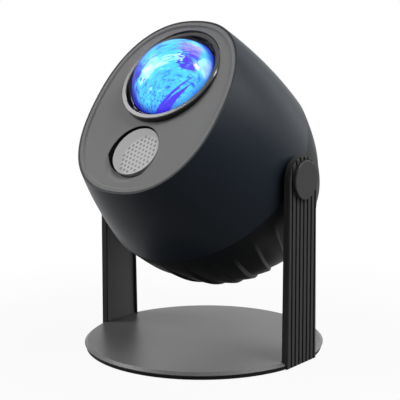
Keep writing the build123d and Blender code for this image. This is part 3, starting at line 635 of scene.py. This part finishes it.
    def paint_ground(self, marks: Brushwork) -> Wire:
        """Lay blue to pale strokes, with a dark patch at the left and a pale arc over the top, partly pale
        strokes of the film and partly a painted reflection of a lamp on the glass.

        Args:
            marks: Places and marks on the dome.

        Returns:
            The ground's colour.
        """
        patch_x, patch_y = self.patch_middle
        patch = span(marks.x - patch_x, marks.y - patch_y) + marks.stroke * self.patch_ragged
        # painted reflection: the pale arc also stands for a lamp mirrored in the glass, over the film's pale
        # strokes
        crest_and_reflection = abs(marks.arc - self.crest_and_reflection_arc) + marks.bristle * self.crest_and_reflection_edge_ragged
        sway = marks.stroke * self.crest_and_reflection_end_ragged
        crest_and_reflection = crest_and_reflection.eased(*self.crest_and_reflection_edge) * (marks.turn + sway).eased(*self.crest_and_reflection_start)
        crest_and_reflection = crest_and_reflection * (marks.turn - sway).eased(*self.crest_and_reflection_end)
        cloud = marks.recipe.noise(marks.point, self.cloud_scale, 1.0) - 0.5
        light = self.base_light + cloud * self.cloud_light
        light = light + marks.stroke * self.stroke_light + marks.bristle * self.bristle_light
        light = light - patch.eased(*self.patch_edge) * self.patch_dark + crest_and_reflection * self.crest_and_reflection_light
        light = light - marks.arc.eased(*self.far_start) * self.far_dark
        colours = (self.deep, self.blue, self.azure, self.cyan, self.bright, self.pale)
        stops = tuple(zip(self.colour_places, colours))
        return marks.recipe.add("ShaderNodeValToRGB", {"stops": stops}, {0: light})

    def dab(self, marks: Brushwork, tone: Wire) -> Wire:
        """Lay blue dabs below the pale arc of strokes and painted reflection.

        Args:
            marks: Places and marks on the dome.
            tone: Colour underneath.

        Returns:
            The colour with this layer over it.
        """
        start = (marks.turn + marks.stroke * self.dab_start_ragged).eased(*self.dab_start)
        far = (marks.arc + marks.stroke * self.dab_far_ragged).eased(*self.dab_far)
        dabs = marks.recipe.noise(marks.along, self.dab_scale, 1.0, self.fine_warp).eased(*self.dab_edge)
        return marks.recipe.blend(dabs * start * far * self.dab_share, tone, self.blue)

    def lay_wedge(self, marks: Brushwork, tone: Wire) -> Wire:
        """Lay the spiky wedge of violet and lilac at the upper right.

        Args:
            marks: Places and marks on the dome.
            tone: Colour underneath.

        Returns:
            The colour with this layer over it.
        """
        stroke_spikes, bristle_spikes = self.wedge_spikes
        spikes = marks.stroke * stroke_spikes + marks.bristle * bristle_spikes
        wedge = (marks.turn + spikes).eased(*self.wedge_end)
        wedge = wedge * (marks.turn - spikes * self.wedge_start_ragged).eased(*self.wedge_start)
        wedge = wedge * (marks.arc + marks.bristle * self.wedge_near_ragged).eased(*self.wedge_near)
        wedge = wedge * (marks.arc + marks.stroke * self.wedge_far_ragged).eased(*self.wedge_far)
        bands = marks.recipe.noise(marks.along, self.wedge_band_scale, 1.0, self.fine_warp)
        wedge = wedge * bands.eased(*self.wedge_band).at_least(marks.stroke.eased(*self.wedge_stroke))
        pale = (marks.arc + marks.stroke * self.lilac_ragged).eased(*self.lilac_start)
        return marks.recipe.blend(wedge, tone, marks.recipe.blend(pale, self.violet, self.lilac))

    def draw_streaks(self, marks: Brushwork, tone: Wire) -> Wire:
        """Draw long curved streaks of violet that thin out towards their tops.

        Args:
            marks: Places and marks on the dome.
            tone: Colour underneath.

        Returns:
            The colour with this layer over it.
        """
        middle_x, middle_y = self.bow_middle
        bow = span(marks.x - middle_x, marks.y - middle_y) + marks.stroke * self.bow_ragged
        above, below = self.streak_top
        for radius, width, top in self.streaks:
            half = self.streak_least + width * marks.y.eased(top, self.streak_foot)
            inside = (abs(bow - radius) - half).eased(*self.streak_edge)
            inside = inside * marks.y.eased(top + above, top + below)
            tone = marks.recipe.blend(inside, tone, self.violet)
        return tone

    def shade_rim(self, marks: Brushwork, tone: Wire) -> Wire:
        """Deepen the blue round the rim and foot, and paint shade in a band on the left, where the dome turns
        away.

        Args:
            marks: Places and marks on the dome.
            tone: Colour underneath.

        Returns:
            The colour with this layer over it.
        """
        recipe = marks.recipe
        brush = marks.stroke * self.stroke_light + marks.bristle * self.bristle_light
        lean_x, lean_y = self.edge_lean
        out = span(marks.x, marks.y) + brush * self.edge_ragged + marks.x * lean_x + marks.y * lean_y
        edge_tone = recipe.blend(marks.x.eased(*self.edge_change), self.deep, self.rim)
        tone = recipe.blend(out.eased(*self.edge_start) * self.edge_share, tone, edge_tone)
        ahead = recipe.add(
            "ShaderNodeVectorMath",
            {"operation": "DOT_PRODUCT"},
            {0: marks.point, 1: self.front},
            output="Value",
        )
        # painted shade: a deep-blue band where the dome turns away from a fixed front direction
        level = (ahead - self.front[2] * self.sphere_middle) / self.sphere_radius
        level = level + marks.stroke * self.limb_shade_ragged
        limb_shade = level.eased(*self.limb_shade_start) * level.eased(*self.limb_shade_end)
        tone = recipe.blend(limb_shade, tone, self.deep)
        return recipe.blend(marks.height.eased(*self.foot), tone, self.navy)

    def make(self) -> bpy.types.Material:
        """Build the material.

        Returns:
            The new material.
        """
        recipe = Recipe.of_material(self.name)
        marks = self.lay_brushwork(recipe)
        tone = self.paint_ground(marks)
        for layer in (self.dab, self.lay_wedge, self.draw_streaks, self.shade_rim):
            tone = layer(marks, tone)
        black = (0.0, 0.0, 0.0)
        shader = recipe.add(
            "ShaderNodeBsdfPrincipled",
            inputs={
                "Base Color": recipe.blend(self.body, black, tone),
                "Roughness": self.roughness + self.bristle_gloss * marks.bristle,
                "Specular IOR Level": self.specular,
                "Emission Color": tone,
                "Emission Strength": self.glow,
                "Normal": recipe.bump(marks.stroke, self.relief),
            },
        )
        return recipe.finish(shader)


@dataclass(frozen=True)
class StarGlow:
    """Milky disc, a little brighter where its lenslets sit."""

    name: str
    plain: Colour = (0.27, 0.27, 0.27)
    bright: Colour = (0.38, 0.38, 0.38)
    field_edge: Pair = (1.6, -1.4)
    cloud_scale: float = 300.0
    cloud_ragged: float = 1.2
    cloud_depth: float = 0.02
    roughness: float = 0.42
    cloud_gloss: float = 0.06
    specular: float = 0.2

    def make(self) -> bpy.types.Material:
        """Build the material.

        Returns:
            The new material.
        """
        recipe = Recipe.of_material(self.name)
        x, y, _ = recipe.parts_of(recipe.place_in_mm(FACE_FRAME))
        shift_x, shift_y = LENSLET_SHIFT
        away = span(x - shift_x, y - (PORT_RISE + shift_y))
        cloud = recipe.noise(recipe.place(), self.cloud_scale)
        outer, inner = (LENSLET_FIELD_RADIUS + margin for margin in self.field_edge)
        share = (away + self.cloud_ragged * cloud).eased(outer, inner)
        shader = recipe.add(
            "ShaderNodeBsdfPrincipled",
            inputs={
                "Base Color": recipe.blend(share, self.plain, self.bright),
                "Roughness": self.roughness + self.cloud_gloss * cloud,
                "Specular IOR Level": self.specular,
                "Normal": recipe.bump(cloud, self.cloud_depth),
            },
        )
        return recipe.finish(shader)


class Finish(Enum):
    """Every finish of the projector."""

    SHELL = Moulded("shell_navy_black", (0.0070, 0.0102, 0.0150), 0.36, specular=0.075)
    REAR = Moulded("rear_black", (0.0065, 0.007, 0.008), 0.45, specular=0.05)
    FACE = Moulded("face_satin_grey", (0.15, 0.15, 0.15), specular=0.06)
    BEZEL = Moulded("bezel_dark", (0.010, 0.010, 0.010), 0.18, grain=0.004, specular=0.45)
    COVER = Moulded("cover_black", (0.028, 0.028, 0.0285), 0.42, specular=0.05)
    CAP = Moulded("cap_black", (0.021, 0.021, 0.0215), 0.36, specular=0.12)
    STRIP = Moulded("strip_paint", (0.165, 0.165, 0.167), 0.42, specular=0.08)
    BASE = Moulded("base_paint", (0.070, 0.070, 0.071), 0.36, specular=0.45)
    RUBBER = Moulded("black_rubber", (0.008, 0.008, 0.008), 0.75, grain=0.05, specular=0.1)
    ACETAL = Moulded("natural_acetal", (0.72, 0.71, 0.67), 0.42)
    INNER = Moulded("inner_black", (0.01, 0.01, 0.01), 0.55, specular=0.1)
    CLAMP = Moulded("clamp_navy", (0.010, 0.028, 0.14), 0.35, specular=0.1)
    BOARD = Moulded("solder_mask", (0.012, 0.09, 0.035), 0.35, specular=0.4)
    PHOSPHOR = Moulded("lamp_phosphor", (0.85, 0.75, 0.25))
    BUTTON = Moulded("button_grey", (0.04, 0.04, 0.042), 0.42)
    STAR = StarGlow("star_lens_grey")
    DOT = Moulded("star_dot_grey", (0.19, 0.19, 0.19), unevenness=0.02)
    # painted shade: near-black finish of the sheet that darkens the star port's shaded upper wall
    PAINTED_SHADE = Moulded("painted_shade_black", (0.003, 0.003, 0.003), 0.6, specular=0.03)
    STEEL = Turned("zinc_steel", (0.55, 0.55, 0.56))
    DARK_STEEL = Turned("oiled_steel", (0.2, 0.2, 0.21), 0.35)
    BRASS = Turned("turned_brass", (0.72, 0.52, 0.2), 0.28)
    ALUMINIUM = Turned("extruded_aluminium", (0.76, 0.76, 0.78), 0.34, 400.0)
    GLASS = ClearGlass("dome_glass")
    NEBULA = NebulaFilm("nebula_film")

    @property
    def material(self) -> bpy.types.Material:
        """The finish's material, made on first use."""
        return bpy.data.materials.get(self.value.name) or self.value.make()


def dress(finish: Finish, *nodes: str) -> None:
    """Give CAD nodes their finish.

    Args:
        finish: The finish they take.
        nodes: The nodes' names.
    """
    for node in nodes:
        target = frame["nodes"][node]
        if not target.material_slots:
            target.data.materials.append(finish.material)
        for place in target.material_slots:
            place.material = finish.material
        log.info("%s: %s", node, finish.value.name)


def make_piece(
    name: str, shape: bmesh.types.BMesh, finish: Finish, body: str, smooth: bool = False
) -> None:
    """Turn a mesh into a piece that rides on a body.

    Args:
        name: The piece's name.
        shape: Its mesh, in metres in the part's frame.
        finish: The finish it takes.
        body: The body it rides on.
        smooth: Whether its faces are shaded smooth.
    """
    bmesh.ops.recalc_face_normals(shape, faces=shape.faces)
    mesh = bpy.data.meshes.new(name)
    shape.to_mesh(mesh)
    shape.free()
    for polygon in mesh.polygons:
        polygon.use_smooth = smooth
    piece = bpy.data.objects.new(name, mesh)
    bpy.context.scene.collection.objects.link(piece)
    mesh.materials.append(finish.material)
    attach(piece, body)
    log.info("%s: %d faces", name, len(mesh.polygons))


def close_skin(
    upper: list[list[Vector]], lower: list[list[Vector]], ring: bool = False, pole: bool = False
) -> bmesh.types.BMesh:
    """Closed thin body between two grids of points.

    Args:
        upper: Rows of points of the outer face.
        lower: Rows of points of the inner face, as many as the outer ones.
        ring: Whether each row closes on itself.
        pole: Whether the first row is a single point.

    Returns:
        The body's mesh.
    """
    shape = bmesh.new()
    faces = [[[shape.verts.new(point) for point in row] for row in grid] for grid in (upper, lower)]
    columns = len(upper[0])
    spans = [(i, (i + 1) % columns) for i in range(columns if ring else columns - 1)]
    strips = [pair for grid in faces for pair in zip(grid, grid[1:])]
    strips.append((faces[0][-1], faces[1][-1]))
    if not pole:
        strips.append((faces[0][0], faces[1][0]))
    for first, second in strips:
        for i, j in spans:
            shape.faces.new((first[i], first[j], second[j], second[i]))
    if not ring:
        for end in (0, -1):
            sides = [[row[end] for row in grid] for grid in faces]
            for i in range(len(upper) - 1):
                shape.faces.new((sides[0][i], sides[0][i + 1], sides[1][i + 1], sides[1][i]))
    bmesh.ops.remove_doubles(shape, verts=shape.verts, dist=WELD)
    bmesh.ops.dissolve_degenerate(shape, edges=shape.edges, dist=WELD)
    return shape


@dataclass
class Stand:
    """Round base with the two ribbed arms of the yoke."""

    body: str = "yoke"
    strip_thickness: float = 1.4
    bead_length: float = 26.0
    bead_height: float = 0.5
    bead_width: float = 0.7
    bead_round: float = 0.15

    def dress(self) -> None:
        """Give the stand's nodes their finishes."""
        dress(Finish.BASE, "base_plate")
        dress(Finish.RUBBER, "foot_pad")
        dress(Finish.STRIP, "yoke_strip")
        dress(Finish.STEEL, "yoke_screws")
        for side in Side:
            dress(Finish.COVER, f"arm_cover_{side.word}")
            dress(Finish.CAP, f"hinge_cap_{side.word}")
            dress(Finish.ACETAL, f"pivot_bush_{side.word}")
            dress(Finish.DARK_STEEL, f"friction_washer_{side.word}")
            dress(Finish.STEEL, f"pivot_shaft_{side.word}", f"pivot_nut_{side.word}")

    def lay_foot_beads(self) -> None:
        """Build the fine bead where each arm's inner face meets the base."""
        base_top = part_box("base_plate")[1].z
        arm_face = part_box("yoke_strip")[1].x - self.strip_thickness * MM
        size = Vector((self.bead_width, self.bead_length, self.bead_height)) * MM
        for side in Side:
            shape = bmesh.new()
            middle = Vector(((arm_face - size.x / 2) * side.value, 0.0, base_top + size.z / 2))
            place = Matrix.Translation(middle) @ Matrix.Diagonal((*size, 1.0))
            bmesh.ops.create_cube(shape, size=1.0, matrix=place)
            bmesh.ops.bevel(
                shape, geom=shape.edges, offset=self.bead_round * MM, segments=2, affect="EDGES"
            )
            make_piece(f"foot_bead_{side.word}", shape, Finish.STRIP, self.body)


@dataclass
class Head:
    """Shells, face plate and domed window of the tilting head."""

    def dress(self) -> None:
        """Give the head's outer nodes their finishes."""
        dress(Finish.SHELL, "front_shell")
        dress(Finish.REAR, "rear_shell")
        dress(Finish.FACE, "face_plate")
        dress(Finish.BEZEL, "lens_bezel")
        dress(Finish.CLAMP, "lens_clamp")
        dress(Finish.RUBBER, "lens_seal")
        dress(Finish.GLASS, "dome_lens")
        dress(Finish.STEEL, "shell_screws")


@dataclass
class StarPort:
    """Dish in the face with the star lens on its floor.

    The dish runs from an oval mouth to a round floor. A thin black sheet of painted shade lies on its
    steep upper side, and a hexagonal grid of lenslets covers a part of the lens.
    """

    body: str = "head"
    mouth_middle: Pair = (-1.05, -26.9)
    mouth_half_width: float = 17.85
    mouth_half_height: float = 19.2
    mouth_depth: float = 0.8
    floor_radius: float = 15.9
    floor_depth: float = 4.2

    # painted shade: a thin black sheet laid just off the dish's steep upper wall, where that wall falls in
    # shade
    shade_sheet_off: float = 0.08
    shade_sheet_thickness: float = 0.15
    shade_sheet_turns: Pair = (-22.0, 238.0)
    shade_sheet_full: Pair = (18.0, 186.0)
    shade_sheet_top: float = 0.02
    shade_sheet_foot: float = 0.93
    shade_sheet_tip: float = 0.01
    shade_sheet_taper: float = 0.8
    shade_sheet_steps: int = 90
    shade_sheet_rows: int = 5

    disc_radius: float = 15.1
    disc_depth: float = 1.5
    dot_pitch: float = 2.95
    dot_turn: float = -15.0
    dot_radius: float = 0.70
    dot_growth: float = 0.38
    dot_height: float = 0.12
    dot_taper: float = 0.75
    dot_segments: int = 16
    dot_rows: int = 16

    def dress(self) -> None:
        """Give the port's nodes their finishes."""
        dress(Finish.STAR, "star_lens")
        dress(Finish.INNER, "star_sleeve")
        dress(Finish.BRASS, "star_module")

    def wall_point(self, turn: float, share: float, lift: float) -> Vector:
        """Point on the dish's wall, lifted towards its middle.

        Args:
            turn: Direction from the middle of the port, in radians.
            share: Zero at the mouth and one at the floor.
            lift: Distance off the wall.

        Returns:
            The point in metres in the part's frame.
        """
        mouth = Vector((
            self.mouth_middle[0] + (self.mouth_half_width - lift) * math.cos(turn),
            self.mouth_middle[1] + (self.mouth_half_height - lift) * math.sin(turn),
            -self.mouth_depth,
        ))
        floor = Vector((
            (self.floor_radius - lift) * math.cos(turn),
            PORT_RISE + (self.floor_radius - lift) * math.sin(turn),
            -self.floor_depth,
        ))
        return FACE_FRAME @ (mouth.lerp(floor, share) * MM)

    def shade_sheet_top_share(self, degrees: float) -> float:
        """How far below the mouth the upper edge of the painted-shade sheet runs.

        Args:
            degrees: Direction from the middle of the port.

        Returns:
            The drop as a share of the wall, from the mouth to the floor.
        """
        ends = zip(self.shade_sheet_full, self.shade_sheet_turns)
        past = max((degrees - full) / (end - full) for full, end in ends)
        drop = self.shade_sheet_foot - self.shade_sheet_top - self.shade_sheet_tip
        return self.shade_sheet_top + drop * min(max(past, 0.0), 1.0) ** self.shade_sheet_taper

    def lay_painted_shade(self) -> None:
        """Build the black sheet of painted shade on the dish's upper wall."""
        first, last = self.shade_sheet_turns
        grids: list[list[list[Vector]]] = [[], []]
        for step in range(self.shade_sheet_steps + 1):
            degrees = first + (last - first) * step / self.shade_sheet_steps
            top = self.shade_sheet_top_share(degrees)
            fall = self.shade_sheet_foot - top
            shares = [top + fall * row / self.shade_sheet_rows for row in range(self.shade_sheet_rows + 1)]
            for grid, lift in zip(grids, (self.shade_sheet_off + self.shade_sheet_thickness, self.shade_sheet_off)):
                grid.append([self.wall_point(math.radians(degrees), share, lift) for share in shares])
        # painted shade: this black sheet darkens the shaded upper wall of the dish
        make_piece("port_painted_shade", close_skin(*grids), Finish.PAINTED_SHADE, self.body)

    def dot_places(self) -> list[Triple]:
        """Lay out the hexagonal grid.

        Returns:
            The x, y and radius of each lenslet on the disc.
        """
        turn = Matrix.Rotation(math.radians(self.dot_turn), 2)
        field_middle = Vector(LENSLET_SHIFT)
        places = []
        for row in range(-self.dot_rows, self.dot_rows + 1):
            for column in range(-self.dot_rows, self.dot_rows + 1):
                across = (column + 0.5 * (row % 2)) * self.dot_pitch
                along = row * self.dot_pitch * math.sqrt(3.0) / 2.0
                spot = turn @ Vector((across, along))
                shifted = (spot - field_middle).length / LENSLET_FIELD_RADIUS
                radius = self.dot_radius + self.dot_growth * shifted**2
                if shifted <= 1.0 and spot.length <= self.disc_radius - radius:
                    places.append((spot.x, spot.y, radius))
        return places

    def set_lenslets(self) -> None:
        """Build the grid of lenslets."""
        shape = bmesh.new()
        disc = FACE_FRAME @ Matrix.Translation((0.0, PORT_RISE * MM, -self.disc_depth * MM))
        for x, y, radius in self.dot_places():
            bmesh.ops.create_cone(
                shape,
                segments=self.dot_segments,
                radius1=radius * MM,
                radius2=radius * self.dot_taper * MM,
                depth=self.dot_height * MM,
                cap_ends=True,
                matrix=disc @ Matrix.Translation((x * MM, y * MM, self.dot_height / 2 * MM)),
            )
        make_piece("star_dots", shape, Finish.DOT, self.body)


@dataclass
class NebulaWheel:
    """Turning dome under the glass, with the rippled film that is moulded on it."""

    body: str = "nebula"
    radius: float = 27.2
    shoulder: float = 60.0
    crown: float = 79.3
    under_radius: float = 27.02
    under_crown: float = 77.82
    ripple: float = 0.16
    ripple_arms: int = 7
    ripple_pitch: float = 4.5
    swell: float = 0.4
    swell_arms: int = 3
    swell_lean: float = 0.35
    rim_fade: float = 4.0
    crown_fade: float = 6.0
    rings: int = 40
    steps: int = 120

    def dress(self) -> None:
        """Give the wheel's nodes their finishes."""
        dress(Finish.NEBULA, "nebula_dome")
        dress(Finish.ACETAL, "wheel_gear")
        dress(Finish.INNER, "wheel_retainer")

    def level(self, reach: float, radius: float, crown: float) -> float:
        """Height of a dome's surface at a distance from its axis.

        Args:
            reach: The distance from the axis.
            radius: The dome's radius at its shoulder.
            crown: Height of its crown.

        Returns:
            The height in mm along the axis.
        """
        sag = crown - self.shoulder
        ball = (radius * radius + sag * sag) / (2.0 * sag)
        return crown - ball + math.sqrt(ball * ball - reach * reach)

    def ripple_at(self, reach: float, turn: float) -> float:
        """Height of the ripples, which spiral out from the crown and fade at the rim.

        Args:
            reach: Distance from the dome's axis.
            turn: Direction from the axis, in radians.

        Returns:
            The height in mm.
        """
        wave = math.sin(2.0 * math.pi * reach / self.ripple_pitch + self.ripple_arms * turn)
        swell = 1.0 - self.swell + self.swell * math.sin(self.swell_arms * turn - reach * self.swell_lean)
        fade = min(1.0, (self.radius - reach) / self.rim_fade) * min(1.0, reach / self.crown_fade)
        return self.ripple * wave * swell * fade

    def ring_of_points(self, share: float, outer: bool) -> list[Vector]:
        """Points round one ring of the film's outer or inner face.

        Args:
            share: The ring's radius as a share of the face's.
            outer: Whether the ring lies on the rippled outer face.

        Returns:
            The points in metres in the part's frame.
        """
        radius, crown = (self.radius, self.crown) if outer else (self.under_radius, self.under_crown)
        reach = radius * share
        points = []
        for step in range(self.steps):
            turn = 2.0 * math.pi * step / self.steps
            level = self.level(reach, radius, crown) + (self.ripple_at(reach, turn) if outer else 0.0)
            points.append(LENS_FRAME @ (Vector((reach * math.cos(turn), reach * math.sin(turn), level)) * MM))
        return points

    def mould_film(self) -> None:
        """Build the film."""
        shares = [math.sin(0.5 * math.pi * ring / self.rings) for ring in range(self.rings + 1)]
        upper, lower = ([self.ring_of_points(share, outer) for share in shares] for outer in (True, False))
        shape = close_skin(upper, lower, ring=True, pole=True)
        make_piece("nebula_skin", shape, Finish.NEBULA, self.body, smooth=True)


@dataclass
class Works:
    """Optics, drive, electronics and rear panel of the head."""

    buttons: tuple[str, ...] = ("mode", "power", "light")

    def dress(self) -> None:
        """Give the inner nodes and the rear panel their finishes."""
        dress(Finish.INNER, "optics_barrel", "lens_retainer", "head_chassis", "button_switches")
        dress(Finish.GLASS, "condenser_lens")
        dress(Finish.BRASS, "motor_pinion", "chassis_posts")
        dress(Finish.STEEL, "drive_motor", "chassis_screws", "barrel_screws", "sink_screws")
        dress(Finish.ALUMINIUM, "heat_sink")
        dress(Finish.BOARD, "lamp_board", "control_board")
        dress(Finish.PHOSPHOR, "lamp_emitter")
        dress(Finish.INNER, "power_inlet")
        dress(Finish.REAR, "rear_panel")
        dress(Finish.BUTTON, *(f"{button}_button" for button in self.buttons))


@dataclass(frozen=True)
class SoftLamp:
    """Rectangular lamp: its place and size in metres, its power in watts and its roll in degrees."""

    name: str
    spot: Triple
    size: Pair
    watts: float
    roll: float = 0.0

    def hang(self, aim: Vector) -> None:
        """Hang the lamp so that it faces a point.

        Args:
            aim: The point, in metres.
        """
        light = bpy.data.lights.new(self.name, "AREA")
        light.shape = "RECTANGLE"
        light.size, light.size_y = self.size
        light.energy = self.watts
        lamp = bpy.data.objects.new(self.name, light)
        turn = (aim - Vector(self.spot)).to_track_quat("-Z", "Y").to_matrix().to_4x4()
        roll = Matrix.Rotation(math.radians(self.roll), 4, "Z")
        lamp.matrix_world = Matrix.Translation(self.spot) @ turn @ roll
        bpy.context.scene.collection.objects.link(lamp)


@dataclass
class Studio:
    """Pale floor, soft lamps and the camera."""

    azimuth: float = 37.90
    elevation: float = 8.94
    roll: float = -0.14
    distance: float = 686.34
    focal_pixels: float = 1106.64
    aim_side: float = 11.03
    aim_height: float = 99.38
    shift_pixels: Pair = (21.05, -13.10)
    clip: Pair = (0.01, 50.0)

    floor_radius: float = 4.0
    floor_tone: Colour = (0.3, 0.3, 0.3)
    floor_white: float = 0.93
    floor_fade: Pair = (0.10, 0.30)
    fill: float = 0.05
    fill_tone: Colour = (0.97, 0.98, 1.0)

    lamp_aim: float = 0.13
    lamps: tuple[SoftLamp, ...] = (
        SoftLamp("key_lamp", (-0.87, -0.62, 0.89), (0.66, 0.88), 16.0, 15.0),
        SoftLamp("right_lamp", (0.66, 0.22, 0.70), (0.52, 0.56), 9.0),
        SoftLamp("front_right_lamp", (0.62, -0.06, 0.86), (0.12, 0.26), 2.4),
        SoftLamp("top_lamp", (-0.05, 0.62, 1.15), (0.5, 0.35), 3.0),
        SoftLamp("rear_right_lamp", (0.62, 0.98, 0.55), (1.2, 0.75), 6.0),
    )

    def view_axes(self) -> tuple[Vector, Vector, Vector]:
        """Axes of the view.

        Returns:
            Unit vectors to the right, up and back towards the viewer.
        """
        turn = math.radians(self.azimuth)
        rise = math.radians(self.elevation)
        level = Vector((math.sin(turn), -math.cos(turn), 0.0))
        back = level * math.cos(rise) + Vector((0.0, 0.0, math.sin(rise)))
        right = Vector((math.cos(turn), math.sin(turn), 0.0))
        return right, back.cross(right), back

    def place_camera(self) -> None:
        """Create the camera at the viewing angle."""
        right, up, back = self.view_axes()
        aim = (Vector((0.0, 0.0, self.aim_height)) + right * self.aim_side) * MM
        turn = math.radians(self.roll)
        rolled_right = right * math.cos(turn) + up * math.sin(turn)
        rolled_up = up * math.cos(turn) - right * math.sin(turn)
        lens = bpy.data.cameras.new("camera")
        lens.sensor_width = SENSOR_WIDTH
        lens.lens = self.focal_pixels / FRAME_PIXELS * SENSOR_WIDTH
        lens.shift_x = -self.shift_pixels[0] / FRAME_PIXELS
        lens.shift_y = self.shift_pixels[1] / FRAME_PIXELS
        lens.clip_start, lens.clip_end = self.clip
        camera = bpy.data.objects.new("camera", lens)
        turned = Matrix((rolled_right, rolled_up, back)).transposed().to_4x4()
        camera.matrix_world = Matrix.Translation(aim + back * self.distance * MM) @ turned
        bpy.context.scene.collection.objects.link(camera)
        bpy.context.scene.camera = camera

    def lay_floor(self) -> None:
        """Create the pale floor, which melts into the backdrop away from the part."""
        shape = bmesh.new()
        bmesh.ops.create_circle(shape, cap_ends=True, segments=96, radius=self.floor_radius)
        mesh = bpy.data.meshes.new("floor")
        shape.to_mesh(mesh)
        shape.free()
        floor = bpy.data.objects.new("floor", mesh)
        bpy.context.scene.collection.objects.link(floor)
        recipe = Recipe.of_material("pale_floor")
        x, y, _ = recipe.parts_of(recipe.place())
        away = span(x, y).eased(*self.floor_fade)
        matte = recipe.add("ShaderNodeBsdfDiffuse", inputs={"Color": (*self.floor_tone, 1.0)})
        white = recipe.add("ShaderNodeEmission", inputs={"Color": (1.0, 1.0, 1.0, 1.0), "Strength": 1.0})
        share = recipe.seen() * (self.floor_white + (1.0 - self.floor_white) * away)
        mixed = recipe.add("ShaderNodeMixShader", inputs={0: share, 1: matte, 2: white})
        mesh.materials.append(recipe.finish(mixed))

    def light_world(self) -> None:
        """Fill the room with even light, white where it is seen."""
        world = bpy.data.worlds.new("room")
        bpy.context.scene.world = world
        recipe = Recipe(world)
        fill, backdrop = (
            recipe.add("ShaderNodeBackground", inputs={"Color": (*tone, 1.0), "Strength": strength})
            for tone, strength in ((self.fill_tone, self.fill), ((1.0, 1.0, 1.0), 1.0))
        )
        mixed = recipe.add("ShaderNodeMixShader", inputs={0: recipe.seen(), 1: fill, 2: backdrop})
        recipe.finish(mixed, "ShaderNodeOutputWorld")

    def build(self) -> None:
        """Set up the studio."""
        self.lay_floor()
        self.light_world()
        for lamp in self.lamps:
            lamp.hang(Vector((0.0, 0.0, self.lamp_aim)))
        self.place_camera()
        bpy.context.scene.view_settings.view_transform = "Standard"


def main() -> None:
    """Dress the projector, add its small pieces and set up the studio."""
    logging.basicConfig(level=logging.INFO, format="%(name)s: %(message)s")
    stand = Stand()
    stand.dress()
    stand.lay_foot_beads()
    Head().dress()
    port = StarPort()
    port.dress()
    port.lay_painted_shade()
    port.set_lenslets()
    wheel = NebulaWheel()
    wheel.dress()
    wheel.mould_film()
    Works().dress()
    Studio().build()


if __name__ == "__main__":
    main()
